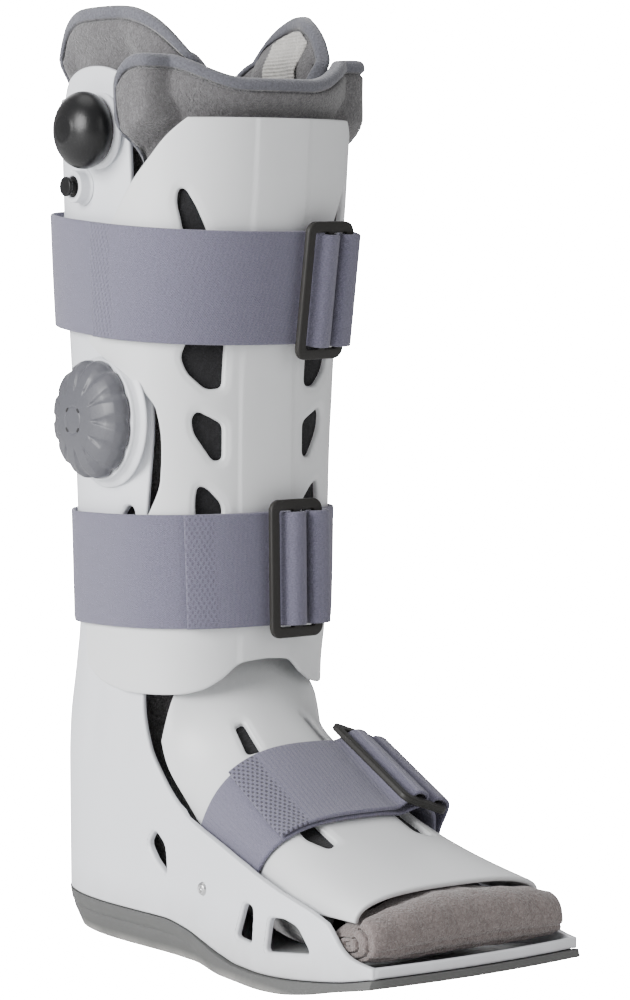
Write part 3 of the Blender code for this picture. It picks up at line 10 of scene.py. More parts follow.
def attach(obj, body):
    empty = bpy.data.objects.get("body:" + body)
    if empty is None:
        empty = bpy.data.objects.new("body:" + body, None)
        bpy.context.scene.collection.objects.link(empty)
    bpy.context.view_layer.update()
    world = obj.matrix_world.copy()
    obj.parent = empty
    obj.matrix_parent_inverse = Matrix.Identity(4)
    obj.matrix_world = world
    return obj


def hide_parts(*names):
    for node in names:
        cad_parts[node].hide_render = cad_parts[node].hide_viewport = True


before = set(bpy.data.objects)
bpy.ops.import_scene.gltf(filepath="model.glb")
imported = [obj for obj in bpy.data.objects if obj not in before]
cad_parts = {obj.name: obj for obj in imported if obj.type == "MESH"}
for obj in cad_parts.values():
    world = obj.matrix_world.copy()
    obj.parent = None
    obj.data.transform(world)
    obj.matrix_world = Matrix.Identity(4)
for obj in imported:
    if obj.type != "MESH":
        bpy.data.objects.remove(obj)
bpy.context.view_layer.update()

# Studio: the camera stands where the photograph was taken from, a little above half the boot's height.
# A pale floor and large soft lamps, the strongest from the left, give the light grey side and darker front.
CAMERA_PLACE = (-0.9057, -1.2833, 0.312)
CAMERA_DOWN = math.radians(4.293)
CAMERA_ROUND = math.radians(-37.0)
LENS_MM = 127.1
SENSOR_MM = 36.0
FLOOR_HALF = 6.0
LAMPS = {
    "left_lamp": {"place": (-2.0, -0.1, 0.9), "size": 1.2, "watts": 80.0},
    "front_lamp": {"place": (0.3, -2.2, 0.9), "size": 1.5, "watts": 8.0},
    "top_lamp": {"place": (-0.3, 0.3, 2.2), "size": 1.6, "watts": 15.0},
    "back_lamp": {"place": (0.9, 1.7, 1.2), "size": 1.4, "watts": 12.0},
}
LAMP_AIM = (0.0, -0.04, 0.18)
SKY_LIGHT = 0.42
BACKDROP_GLOW = 30.0
FLOOR_GLOW = 30.0


def node(tree, kind, sockets=None, **settings):
    """A shader node with its settings, and its inputs linked where a socket is given and set where a value is."""
    made = tree.nodes.new(kind)
    for name, value in settings.items():
        setattr(made, name, value)
    for name, value in (sockets or {}).items():
        if isinstance(value, bpy.types.NodeSocket):
            tree.links.new(value, made.inputs[name])
        else:
            made.inputs[name].default_value = value
    return made


def blank_material(name):
    """An empty node material with its principled shader and its tree."""
    material = bpy.data.materials.new(name)
    material.use_nodes = True
    tree = material.node_tree
    return material, tree, tree.nodes["Principled BSDF"]


camera_data = bpy.data.cameras.new("camera")
camera_data.lens = LENS_MM
camera_data.sensor_width = SENSOR_MM
camera = bpy.data.objects.new("camera", camera_data)
camera.location = CAMERA_PLACE
camera.rotation_euler = (math.pi / 2 - CAMERA_DOWN, 0.0, CAMERA_ROUND)
bpy.context.scene.collection.objects.link(camera)
bpy.context.scene.camera = camera

for lamp_name, lamp in LAMPS.items():
    light = bpy.data.lights.new(lamp_name, "AREA")
    light.shape = "DISK"
    light.size = lamp["size"]
    light.energy = lamp["watts"]
    holder = bpy.data.objects.new(lamp_name, light)
    holder.location = lamp["place"]
    holder.rotation_euler = (Vector(LAMP_AIM) - holder.location).to_track_quat("-Z", "Y").to_euler()
    bpy.context.scene.collection.objects.link(holder)

world = bpy.data.worlds.new("soft_sky")
world.use_nodes = True
backdrop = world.node_tree.nodes["Background"]
backdrop.inputs["Color"].default_value = (1.0, 1.0, 1.0, 1.0)
seen = node(world.node_tree, "ShaderNodeLightPath").outputs["Is Camera Ray"]
glow = node(world.node_tree, "ShaderNodeMapRange", {"Value": seen, "To Min": SKY_LIGHT, "To Max": BACKDROP_GLOW})
world.node_tree.links.new(glow.outputs["Result"], backdrop.inputs["Strength"])
bpy.context.scene.world = world

floor_material, floor_tree, floor_shader = blank_material("studio_paper")
floor_shader.inputs["Base Color"].default_value = (0.93, 0.93, 0.93, 1.0)
floor_shader.inputs["Roughness"].default_value = 0.9
floor_shader.inputs["Emission Color"].default_value = (1.0, 1.0, 1.0, 1.0)
seen = node(floor_tree, "ShaderNodeLightPath").outputs["Is Camera Ray"]
glow = node(floor_tree, "ShaderNodeMath", {0: seen, 1: FLOOR_GLOW}, operation="MULTIPLY")
floor_tree.links.new(glow.outputs[0], floor_shader.inputs["Emission Strength"])
floor_mesh = bpy.data.meshes.new("floor")
floor_mesh.from_pydata(
    [(-FLOOR_HALF, -FLOOR_HALF, 0.0), (FLOOR_HALF, -FLOOR_HALF, 0.0),
     (FLOOR_HALF, FLOOR_HALF, 0.0), (-FLOOR_HALF, FLOOR_HALF, 0.0)], [], [(0, 1, 2, 3)])
floor_mesh.materials.append(floor_material)
floor = bpy.data.objects.new("floor", floor_mesh)
bpy.context.scene.collection.objects.link(floor)

# Outsole: one rubber moulding cemented under the shell, thick at the heel and thin and flared under the toes.
# Its outline follows the shell's, so the sizes of the leg and foot that all the hard pieces share are here too.
LEG_TOP = 0.3720
CALF_HALF_WIDTH = 0.0605
CALF_FRONT = 0.0605
CALF_BACK = 0.0670
LEG_ROUNDNESS = 2.5
PANEL_WALL = 0.0026
PANEL_GAP = 0.0008
SHELL_WALL = 0.0028
SHELL_INSET = PANEL_WALL + PANEL_GAP
TOE_REACH = 0.1910
TOE_BOW = 0.0035
FOOT_SPREAD = 0.0100
FOOT_ONLY_BELOW = 0.0600
LEG_ONLY_ABOVE = 0.1150
HEEL_SOLE = 0.0160
SOLE_FLARE = 0.0030
TREAD_INSET = 0.0030
TREAD_HEEL_INSET = 0.0080
TOE_SPRING = 0.0125
RIB_PITCH = 0.0024
RIB_HEIGHT = 0.00022
TREAD_PITCH = 0.0110
TREAD_DEPTH = 0.0014

LegRow = namedtuple("LegRow", "height half_width front back")
LEG_ROWS = (
    LegRow(0.043, 0.810, 0.790, 1.190),
    LegRow(0.202, 0.810, 0.790, 1.198),
    LegRow(0.247, 0.810, 0.780, 1.180),
    LegRow(0.323, 0.826, 0.755, 1.055),
    LegRow(0.390, 0.861, 0.785, 0.940),
    LegRow(0.538, 0.899, 0.770, 0.925),
    LegRow(0.659, 0.934, 0.782, 0.940),
    LegRow(0.806, 0.967, 0.893, 0.985),
    LegRow(0.900, 0.983, 0.967, 1.000),
    LegRow(1.000, 1.000, 1.000, 1.000),
    LegRow(1.140, 1.000, 1.000, 1.000),
)
PlanRow = namedtuple("PlanRow", "forward spread shell_bottom tread")
PLAN_ROWS = (
    PlanRow(-0.45, 0.00, 1.000, 0.00),
    PlanRow(0.00, 0.00, 1.000, 0.00),
    PlanRow(0.16, -0.05, 1.000, 0.00),
    PlanRow(0.26, 0.05, 0.880, 0.00),
    PlanRow(0.34, 0.22, 0.690, 0.00),
    PlanRow(0.42, 0.40, 0.500, 0.00),
    PlanRow(0.50, 0.60, 0.390, 0.00),
    PlanRow(0.58, 0.80, 0.385, 0.00),
    PlanRow(0.68, 0.95, 0.450, 0.08),
    PlanRow(0.79, 1.00, 0.590, 0.33),
    PlanRow(0.90, 0.98, 0.780, 0.70),
    PlanRow(1.00, 0.85, 1.030, 1.00),
)


def smooth_step(low, high, value):
    """0 below low, 1 above high, and a smooth rise between them."""
    share = np.clip((value - low) / (high - low), 0.0, 1.0)
    return share * share * (3.0 - 2.0 * share)


def along(rows, key, column, at):
    """One column of a table at a place between its rows, on a smooth curve that never overshoots a row."""
    places = np.array([getattr(row, key) for row in rows], float)
    values = np.array([getattr(row, column) for row in rows], float)
    at = np.clip(at, places[0], places[-1])
    steps = np.diff(values) / np.diff(places)
    product = steps[:-1] * steps[1:]
    total = np.where(product > 0, steps[:-1] + steps[1:], 1.0)
    slopes = np.concatenate([steps[:1], np.where(product > 0, 2.0 * product / total, 0.0), steps[-1:]])
    low = np.clip(np.searchsorted(places, at) - 1, 0, len(places) - 2)
    span = places[low + 1] - places[low]
    t = (at - places[low]) / span
    start = (2 * t**3 - 3 * t**2 + 1) * values[low] + (t**3 - 2 * t**2 + t) * span * slopes[low]
    end = (3 * t**2 - 2 * t**3) * values[low + 1] + (t**3 - t**2) * span * slopes[low + 1]
    return start + end


def signed_power(value, power):
    return np.sign(value) * np.abs(value) ** power


def leg_size(height, inset=0.0):
    """Half width, front depth and back depth of the leg's section at a height."""
    share = height / LEG_TOP
    half = CALF_HALF_WIDTH * along(LEG_ROWS, "height", "half_width", share) - inset
    front = CALF_FRONT * along(LEG_ROWS, "height", "front", share) - inset
    back = CALF_BACK * along(LEG_ROWS, "height", "back", share) - inset
    return half, front, back


def sole_top(forward):
    """Height of the seam between the shell and the sole."""
    return HEEL_SOLE * along(PLAN_ROWS, "forward", "shell_bottom", forward / TOE_REACH)


def shell_half_width(forward, height, inset=SHELL_INSET):
    """Half width of the rear shell: the foot's plan low down, the leg's section above."""
    half, front, back = leg_size(height, inset)
    deep = np.where(forward > 0, front, back)
    rest = np.clip(1.0 - (np.abs(forward) / deep) ** LEG_ROUNDNESS, 0.0, 1.0)
    leg = half * rest ** (1.0 / LEG_ROUNDNESS)
    foot = half + FOOT_SPREAD * along(PLAN_ROWS, "forward", "spread", forward / TOE_REACH)
    in_leg = smooth_step(FOOT_ONLY_BELOW, LEG_ONLY_ABOVE, height)
    return np.where(forward > 0, foot + (leg - foot) * in_leg, leg)


def grid_quads(rows, columns, wrap=False, start=0):
    """Faces between the rows of a grid whose points are listed row by row."""
    index = np.arange(rows * columns).reshape(rows, columns) + start
    if wrap:
        index = np.concatenate([index, index[:, :1]], axis=1)
    corners = (index[:-1, :-1], index[:-1, 1:], index[1:, 1:], index[1:, :-1])
    return np.stack(corners, -1).reshape(-1, 4)


def make_piece(name, points, faces, material, uv=None, marks=None, weld=False, sharp=40.0):
    """A mesh object at the origin, closed at its doubles, faced outwards and shaded smooth but for sharp edges.

    uv is each point's place on the unrolled piece in metres, and marks are named numbers, one for each point.
    """
    mesh = bpy.data.meshes.new(name)
    mesh.from_pydata(points.tolist(), [], [list(face) for face in faces])
    if uv is not None:
        corners = np.empty(len(mesh.loops), int)
        mesh.loops.foreach_get("vertex_index", corners)
        mesh.uv_layers.new(name="flat").data.foreach_set("uv", uv[corners].ravel())
    for mark, values in (marks or {}).items():
        mesh.attributes.new(mark, "FLOAT", "POINT").data.foreach_set("value", np.asarray(values, float).ravel())
    work = bmesh.new()
    work.from_mesh(mesh)
    if weld:
        bmesh.ops.remove_doubles(work, verts=work.verts, dist=1e-6)
    bmesh.ops.recalc_face_normals(work, faces=work.faces)
    work.to_mesh(mesh)
    work.free()
    mesh.shade_smooth()
    mesh.set_sharp_from_angle(angle=math.radians(sharp))
    mesh.materials.append(material)
    made = bpy.data.objects.new(name, mesh)
    bpy.context.scene.collection.objects.link(made)
    return made


def new_group(name, inputs, outputs):
    """An empty shader group with named number, colour or vector sockets."""
    group = bpy.data.node_groups.new(name, "ShaderNodeTree")
    for socket, kind, value in inputs:
        made = group.interface.new_socket(socket, in_out="INPUT", socket_type=kind)
        if value is not None:
            made.default_value = value
    for socket, kind in outputs:
        group.interface.new_socket(socket, in_out="OUTPUT", socket_type=kind)
    return group, group.nodes.new("NodeGroupInput"), group.nodes.new("NodeGroupOutput")


def grain_group():
    """Moulded grain: fine noise for height, and broad noise for patches of tone and gloss."""
    group, given, result = new_group(
        "moulded_grain",
        [("Vector", "NodeSocketVector", None), ("Fine", "NodeSocketFloat", 900.0),
         ("Broad", "NodeSocketFloat", 14.0)],
        [("Height", "NodeSocketFloat"), ("Patches", "NodeSocketFloat")])
    fine = node(group, "ShaderNodeTexNoise",
                {"Vector": given.outputs["Vector"], "Scale": given.outputs["Fine"], "Detail": 3.0})
    broad = node(group, "ShaderNodeTexNoise",
                 {"Vector": given.outputs["Vector"], "Scale": given.outputs["Broad"], "Detail": 4.0})
    group.links.new(fine.outputs["Fac"], result.inputs["Height"])
    group.links.new(broad.outputs["Fac"], result.inputs["Patches"])
    return group


GRAIN = grain_group()


def soil_group():
    """Light handling dirt: broad noise kept to a low band above the ground, as a mask."""
    group, given, result = new_group(
        "floor_dust",
        [("Vector", "NodeSocketVector", None), ("Reach", "NodeSocketFloat", 0.05)],
        [("Mask", "NodeSocketFloat")])
    height = node(group, "ShaderNodeSeparateXYZ", {"Vector": given.outputs["Vector"]})
    share = node(group, "ShaderNodeMath", {0: height.outputs["Z"], 1: given.outputs["Reach"]}, operation="DIVIDE")
    fall = node(group, "ShaderNodeMath", {0: 1.0, 1: share.outputs[0]}, operation="SUBTRACT", use_clamp=True)
    noise = node(group, "ShaderNodeTexNoise", {"Vector": given.outputs["Vector"], "Scale": 60.0, "Detail": 5.0})
    mask = node(group, "ShaderNodeMath", {0: fall.outputs[0], 1: noise.outputs["Fac"]}, operation="MULTIPLY")
    group.links.new(mask.outputs[0], result.inputs["Mask"])
    return group


DUST = soil_group()


def mix_colour(tree, share, first, second, blend="MIX"):
    """The colour between two colours, each a socket or a plain colour, at a share."""
    made = node(tree, "ShaderNodeMix", data_type="RGBA", blend_type=blend)
    for place, value in ((0, share), (6, first), (7, second)):
        if isinstance(value, bpy.types.NodeSocket):
            tree.links.new(value, made.inputs[place])
        else:
            made.inputs[place].default_value = value if place == 0 else (*value, 1.0)
    return made.outputs[2]


def moulded_material(name, colour, patch_colour, roughness, fine=900.0, bump=0.12, dust=0.0, spread=0.08,
                     shine=0.5):
    """Moulded plastic or rubber: two close tones in broad patches, a fine grain, and dust near the ground."""
    material, tree, shader = blank_material(name)
    place = node(tree, "ShaderNodeTexCoord").outputs["Object"]
    grain = node(tree, "ShaderNodeGroup", node_tree=GRAIN)
    tree.links.new(place, grain.inputs["Vector"])
    grain.inputs["Fine"].default_value = fine
    tone = mix_colour(tree, grain.outputs["Patches"], colour, patch_colour)
    if dust:
        soil = node(tree, "ShaderNodeGroup", node_tree=DUST)
        tree.links.new(place, soil.inputs["Vector"])
        soil.inputs["Reach"].default_value = dust
        tone = mix_colour(tree, soil.outputs["Mask"], tone, (0.36, 0.35, 0.33))
    tree.links.new(tone, shader.inputs["Base Color"])
    shader.inputs["Specular IOR Level"].default_value = shine
    gloss = node(tree, "ShaderNodeMapRange", {"Value": grain.outputs["Patches"],
                                              "To Min": roughness - spread, "To Max": roughness + spread})
    tree.links.new(gloss.outputs["Result"], shader.inputs["Roughness"])
    raised = node(tree, "ShaderNodeBump", {"Height": grain.outputs["Height"], "Strength": bump, "Distance": 0.0002})
    tree.links.new(raised.outputs["Normal"], shader.inputs["Normal"])
    return material


SOLE_RUBBER = moulded_material("sole_rubber", (0.090, 0.091, 0.089), (0.083, 0.084, 0.082), 0.72,
                               fine=500.0, bump=0.35, dust=0.004)


def outsole_levels():
    """Half outlines of tread, waist and seam: heel arc as a superellipse, sides on the shell's plan, bowed toe."""
    half, _, back = leg_size(HEEL_SOLE, SHELL_INSET)
    arc = np.linspace(math.pi, math.pi / 2, 49)[:-1]
    forward = TOE_REACH * np.linspace(0.0, 1.0, 121)
    front_turn = np.linspace(1.0, 0.0, 25)[1:]
    levels = []
    for inset, heel_inset, flare_share, level in (
            (TREAD_INSET, TREAD_HEEL_INSET, 0.85, 0), (0.0005, 0.0012, 1.0, 1), (-0.0003, -0.0003, 0.6, 2)):
        arc_x = (half - inset) * np.abs(np.sin(arc)) ** (2.0 / LEG_ROUNDNESS)
        arc_y = (back - heel_inset) * np.abs(np.cos(arc)) ** (2.0 / LEG_ROUNDNESS)
        fore = smooth_step(0.27, 0.45, forward / TOE_REACH)
        side_x = shell_half_width(forward, HEEL_SOLE) + (SOLE_FLARE + inset) * fore * flare_share - inset
        side_x -= 0.0015 * smooth_step(0.97, 1.0, forward / TOE_REACH)
        front_x = (side_x[-1] - 0.0012) * front_turn
        front_y = -(TOE_REACH + 0.0015 - inset * 0.5 + TOE_BOW * (1.0 - front_turn**2))
        x = np.concatenate([arc_x, side_x, front_x])
        y = np.concatenate([arc_y, -forward, front_y])
        tread = TOE_SPRING * along(PLAN_ROWS, "forward", "tread", -y / TOE_REACH)
        top = sole_top(-y) - 0.0003
        waist = tread + (top - tread) * (0.12 + 0.48 * (1.0 - smooth_step(0.25, 0.50, -y / TOE_REACH)))
        levels.append(np.stack([x, y, (tread, waist, top)[level]], -1))
    return levels


def across_plate(half_line, columns, lift):
    """A plate between a half outline and its mirror image: x runs from -x to x, and lift(x, y) is added to z."""
    share = np.linspace(-1.0, 1.0, columns)
    x = half_line[:, 0, None] * share
    y = np.broadcast_to(half_line[:, 1, None], x.shape)
    z = half_line[:, 2, None] + lift(share[None, :], y)
    return np.stack([x, y, z], -1)


tread_line, waist_line, seam_line = outsole_levels()
rise = np.array([0.0, 0.04, 0.12, 0.24, 0.36, 0.44, 0.48, 0.5, 0.54, 0.62, 0.74, 0.86, 0.95, 1.0])[:, None, None]
side = np.where(rise < 0.5, tread_line + (waist_line - tread_line) * rise * 2.0,
                waist_line + (seam_line - waist_line) * (rise * 2.0 - 1.0))
run = np.cumsum(np.concatenate([[0.0], np.linalg.norm(np.diff(waist_line[:, :2], axis=0), axis=1)]))
forefoot = smooth_step(0.088, 0.096, -waist_line[:, 1]) * (1.0 - smooth_step(0.180, 0.187, -waist_line[:, 1]))
between = smooth_step(0.06, 0.3, rise[..., 0]) * (1.0 - smooth_step(0.8, 0.95, rise[..., 0]))
ribs = RIB_HEIGHT * np.cos(2.0 * math.pi * run / RIB_PITCH) * forefoot * between
heel = 1.0 - smooth_step(0.02, 0.07, -waist_line[:, 1])
groove = -0.0007 * heel * np.exp(-((rise[..., 0] - 0.5) / 0.045) ** 2)
heading = np.gradient(waist_line[:, :2], axis=0)
outward = np.stack([-heading[:, 1], heading[:, 0]], -1)
outward *= np.sign(np.sum(outward * waist_line[:, :2], -1, keepdims=True) + 1e-9)
outward /= np.linalg.norm(outward, axis=-1, keepdims=True)
side = side + np.concatenate([outward[None] * (ribs + groove)[..., None], np.zeros((*ribs.shape, 1))], -1)
ring = np.concatenate([side, side[:, 1:-1][:, ::-1] * (-1.0, 1.0, 1.0)], axis=1)


def tread_bars(share, y):
    """Grooves across the tread, a cosine of the place along the sole, that stop short of its edge."""
    bars = smooth_step(0.62, 0.86, 0.5 + 0.5 * np.cos(2.0 * math.pi * (y + 0.012 * np.abs(share)) / TREAD_PITCH))
    return TREAD_DEPTH * bars * (1.0 - smooth_step(0.80, 0.88, np.abs(share)))


bottom = across_plate(side[0], 41, tread_bars)
top = across_plate(side[-1], 9, lambda share, y: 0.0 * share * y)
parts = (ring.reshape(-1, 3), bottom.reshape(-1, 3), top.reshape(-1, 3))
faces = np.concatenate([
    grid_quads(*ring.shape[:2], wrap=True),
    grid_quads(*bottom.shape[:2], start=len(parts[0])),
    grid_quads(*top.shape[:2], start=len(parts[0]) + len(parts[1]))])
outsole = make_piece("outsole_rubber", np.concatenate(parts), faces, SOLE_RUBBER, weld=True)
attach(outsole, "boot")
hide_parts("outsole")

# Rear shell: one white moulding with tray, heel cup, side walls and back upright, open at the front.
# Its walls carry four vents a side with rounded rims, a low lip round the toes and a collar for the dial.
TAB_RISE = 0.0130
TAB_FORWARD = 0.0030
TAB_HALF_LENGTH = 0.0270
LIP_HEIGHT = 0.0045
FIRST_WALL_ROW = 0.094
LAST_WALL_ROW = 0.900
VENT_ROUND = 0.0030
TRAY_GAP = 0.0012
EdgeRow = namedtuple("EdgeRow", "height forward")
SHELL_EDGE = (
    EdgeRow(0.055, 0.975),
    EdgeRow(0.070, 0.905),
    EdgeRow(0.094, 0.850),
    EdgeRow(0.120, 0.640),
    EdgeRow(0.145, 0.440),
    EdgeRow(0.171, 0.255),
    EdgeRow(0.200, 0.165),
    EdgeRow(0.240, 0.105),
    EdgeRow(0.290, 0.083),
    EdgeRow(0.350, 0.083),
    EdgeRow(0.430, 0.105),
    EdgeRow(0.520, 0.118),
    EdgeRow(0.640, 0.140),
    EdgeRow(0.800, 0.135),
    EdgeRow(0.900, 0.113),
    EdgeRow(1.000, 0.110),
)
SIDE_VENTS = {
    "heel": ((0.0240, 0.0536), (0.0190, 0.0470), (0.0250, 0.0400), (0.0335, 0.0345), (0.0320, 0.0475)),
    "ball_back": ((0.0930, 0.0180), (0.1010, 0.0340), (0.1085, 0.0330), (0.1070, 0.0175)),
    "ball_front": ((0.1180, 0.0160), (0.1215, 0.0310), (0.1320, 0.0320), (0.1420, 0.0300), (0.1510, 0.0205)),
    "shank": ((-0.0010, 0.1800), (0.0110, 0.1950), (0.0150, 0.1940), (0.0160, 0.1800)),
}
SHELL_WHITE = moulded_material("shell_plastic", (0.74, 0.755, 0.79), (0.70, 0.715, 0.75), 0.42,
                               fine=1500.0, bump=0.10, dust=0.03)


def unit(vectors):
    return vectors / np.maximum(np.linalg.norm(vectors, axis=-1, keepdims=True), 1e-12)


def grid_normals(points, wrap=False):
    """Cross product of the grid's two directions, turned away from the middle of the whole grid."""
    across = np.roll(points, -1, 1) - np.roll(points, 1, 1) if wrap else np.gradient(points, axis=1)
    normal = unit(np.cross(across, np.gradient(points, axis=0)))
    centre = points.reshape(-1, 3).mean(0)
    return normal * np.sign(np.sum(normal * (points - centre)) + 1e-12)


def grid_lengths(points, axis):
    """Length along the grid lines of one direction, from their start."""
    steps = np.linalg.norm(np.diff(points, axis=axis), axis=-1)
    return np.concatenate([np.zeros_like(np.take(steps, [0], axis)), np.cumsum(steps, axis=axis)], axis=axis)


def edge_shares(length, rounding, count, steps=5):
    """Places from 0 to 1 that crowd at both ends, where an edge is rounded, and are even between."""
    near = rounding * (1.0 - np.cos(np.linspace(0.0, math.pi / 2, steps))) / length
    return np.concatenate([near, np.linspace(near[-1], 1.0 - near[-1], count)[1:-1], 1.0 - near[::-1]])


def make_wall(name, face, thickness, rounding, material, wrap=False, centred=False, swell=0.0, marks=None,
              normal=None, sharp=40.0):
    """A closed wall behind a face: outer and inner sheets half a thickness either side of its middle.

    Near each open edge both sheets close in on a quarter circle of the rounding's radius.
    """
    rows, columns = face.shape[:2]
    normal = grid_normals(face, wrap) if normal is None else normal
    up = grid_lengths(face, 0)
    over = grid_lengths(face, 1)
    inside = np.minimum(up, up[-1:] - up)
    if not wrap:
        inside = np.minimum(inside, np.minimum(over, over[:, -1:] - over))
    short = np.clip(rounding - inside, 0.0, rounding)
    half = thickness / 2 - rounding + np.sqrt(np.maximum(rounding**2 - short**2, (0.06 * rounding) ** 2)) + swell
    middle = face if centred else face - normal * thickness / 2
    sheets = np.stack([middle + normal * half[..., None], middle - normal * half[..., None]])
    count = rows * columns
    index = np.arange(count).reshape(rows, columns)
    if wrap:
        loops = (np.append(index[0], index[0, 0]), np.append(index[-1], index[-1, 0]))
    else:
        loops = (np.concatenate([index[0], index[1:, -1], index[-1, -2::-1], index[-2::-1, 0]]),)
    sides = [np.stack([loop[:-1], loop[1:], loop[1:] + count, loop[:-1] + count], -1) for loop in loops]
    faces = np.concatenate([grid_quads(rows, columns, wrap),
                            grid_quads(rows, columns, wrap, start=count)[:, ::-1], *sides])
    flat = np.stack([over, up], -1).reshape(-1, 2)
    known = {"edge": np.tile(np.minimum(inside, 1.0).ravel(), 2), "back": np.repeat([0.0, 1.0], count)}
    for mark, values in (marks or {}).items():
        known[mark] = np.tile(np.broadcast_to(values, (rows, columns)).ravel(), 2)
    return make_piece(name, sheets.reshape(-1, 3), faces, material, np.tile(flat, (2, 1)), known, sharp=sharp)


def rounded(corners, radius=VENT_ROUND, steps=6):
    """A closed outline whose corners are quadratic curves, a * (1 - t)^2 + 2 * corner * t (1 - t) + b * t^2."""
    corners = np.array(corners, float)
    before = np.roll(corners, 1, 0) - corners
    after = np.roll(corners, -1, 0) - corners
    t = np.linspace(0.0, 1.0, steps)[None, :, None]

    def cut(edge):
        length = np.linalg.norm(edge, axis=1, keepdims=True)
        return corners + edge / length * np.minimum(radius, 0.46 * length)

    start, end = cut(before)[:, None], cut(after)[:, None]
    return (start * (1 - t) ** 2 + 2 * corners[:, None] * t * (1 - t) + end * t**2).reshape(-1, 2)


def grown(outline, amount):
    """An outline moved outwards by an amount, along the normals of its chords."""
    chord = unit(np.roll(outline, -1, 0) - np.roll(outline, 1, 0))
    normal = np.stack([chord[:, 1], -chord[:, 0]], -1)
    area = np.sum(outline[:, 0] * np.roll(outline[:, 1], -1) - np.roll(outline[:, 0], -1) * outline[:, 1])
    return outline + normal * amount * np.sign(area)


def outline_distance(points, outline):
    """Distance of flat points from a closed outline, negative inside it."""
    start = outline[:, None]
    edge = np.roll(outline, -1, 0)[:, None] - start
    way = points[None] - start
    share = np.clip(np.sum(way * edge, -1) / np.sum(edge * edge, -1), 0.0, 1.0)
    distance = np.linalg.norm(way - share[..., None] * edge, axis=-1).min(0)
    y0, y1 = start[..., 1], start[..., 1] + edge[..., 1]
    crosses = (y0 > points[None, :, 1]) != (y1 > points[None, :, 1])
    at = start[..., 0] + (points[None, :, 1] - y0) / np.where(edge[..., 1] == 0, 1e-12, edge[..., 1]) * edge[..., 0]
    inside = (crosses & (points[None, :, 0] < at)).sum(0) % 2 == 1
    return np.where(inside, -distance, distance)


# Rise above the face and growth of a vent cutter: a flare above, a rounded rim, then straight through
RIM_PROFILE = ((0.0030, 0.0011), (0.0001, 0.0011), (-0.0002, 0.0006), (-0.0005, 0.00025), (-0.0009, 0.00006),
               (-0.0014, 0.0), (-0.0090, 0.0))


def cut_openings(piece, cutters):
    """Cuts closed solids, each (points, faces), out of a piece and keeps the result as its mesh."""
    first = 0
    points, faces = [], []
    for solid, sides in cutters:
        points.append(solid)
        faces += [[corner + first for corner in side] for side in sides]
        first += len(solid)
    tool = make_piece(f"{piece.name}_tool", np.concatenate(points), faces, piece.data.materials[0])
    cut = piece.modifiers.new("openings", "BOOLEAN")
    cut.object = tool
    cut.operation = "DIFFERENCE"
    cut.solver = "EXACT"
    shown = piece.evaluated_get(bpy.context.evaluated_depsgraph_get())
    mesh = bpy.data.meshes.new_from_object(shown)
    piece.modifiers.clear()
    piece.data = mesh
    mesh.shade_smooth()
    mesh.set_sharp_from_angle(angle=math.radians(32))
    bpy.data.objects.remove(tool)


def plug(rings):
    """A closed solid through rings of points: quads between them and a flat end on each."""
    count, around = rings.shape[:2]
    faces = grid_quads(count, around, wrap=True).tolist()
    faces += [list(range(around))[::-1], list(range((count - 1) * around, count * around))]
    return rings.reshape(-1, 3), faces


def shell_edge(height):
    """How far forward the rear shell's wall reaches at a height."""
    return TOE_REACH * along(SHELL_EDGE, "height", "forward", height / LEG_TOP)


def shell_top(y):
    """Top edge of the rear shell, with the rounded tab that carries the bulb."""
    share = np.clip(1.0 - ((y - TAB_FORWARD) / TAB_HALF_LENGTH) ** 2, 0.0, 1.0)
    return LEG_TOP + TAB_RISE * np.sqrt(share)


def shell_rows(height, forward):
    """Outlines at heights, near front edge round the heel to far front edge: plan runs, then superellipse arcs."""
    near = 0.0011 * (1.0 - np.cos(np.linspace(0.0, math.pi / 2, 5)))
    even = np.linspace(1.0, 0.0, 70)[1:]
    height = height[:, None]
    forward = forward[:, None]
    run = np.concatenate([forward - near, (forward - near[-1]) * even], axis=1)
    half, _, back = leg_size(height, SHELL_INSET)
    arc = np.linspace(math.pi / 2, math.pi, 49)[1:]
    run_x = shell_half_width(run, np.broadcast_to(height, run.shape))
    arc_x = half * np.abs(np.sin(arc)) ** (2.0 / LEG_ROUNDNESS)
    arc_y = back * np.abs(np.cos(arc)) ** (2.0 / LEG_ROUNDNESS)
    x = np.concatenate([run_x, arc_x], axis=1)
    y = np.concatenate([-run, arc_y], axis=1)
    x[:, -1] = 0.0
    return np.concatenate([-x, x[:, -2::-1]], axis=1), np.concatenate([y, y[:, -2::-1]], axis=1)


def shell_face():
    """The shell's outer face from the seam up: seam to lip, lip to the first full row, then up to the top edge."""
    first = FIRST_WALL_ROW * LEG_TOP
    low = edge_shares(LIP_HEIGHT * 2.0, 0.0011, 3)[:6] * 2.0
    x, y = shell_rows(np.full(len(low), HEEL_SOLE), np.full(len(low), TOE_REACH))
    seam = np.stack([x, y, sole_top(-y) + LIP_HEIGHT * low[:, None]], -1)
    share = np.linspace(0.0, 1.0, 12)[1:]
    lip_front = float(sole_top(TOE_REACH)) + LIP_HEIGHT
    level = lip_front + (first - lip_front) * share
    forward = shell_edge(level) + (TOE_REACH - float(shell_edge(lip_front))) * (1.0 - share) ** 2
    x, y = shell_rows(level, forward)
    lip = sole_top(-y) + LIP_HEIGHT
    rise = np.stack([x, y, lip + (first - lip) * share[:, None]], -1)
    top_shares = edge_shares(LEG_TOP - first, 0.0011, 150)[5:]
    level = first + (LEG_TOP - first) * top_shares
    x, y = shell_rows(level, shell_edge(level))
    late = LAST_WALL_ROW * LEG_TOP
    lift = np.clip((level[:, None] - late) / (LEG_TOP - late), 0.0, 1.0) * (shell_top(y) - LEG_TOP)
    wall = np.stack([x, y, level[:, None] + lift], -1)
    return np.concatenate([seam, rise, wall])


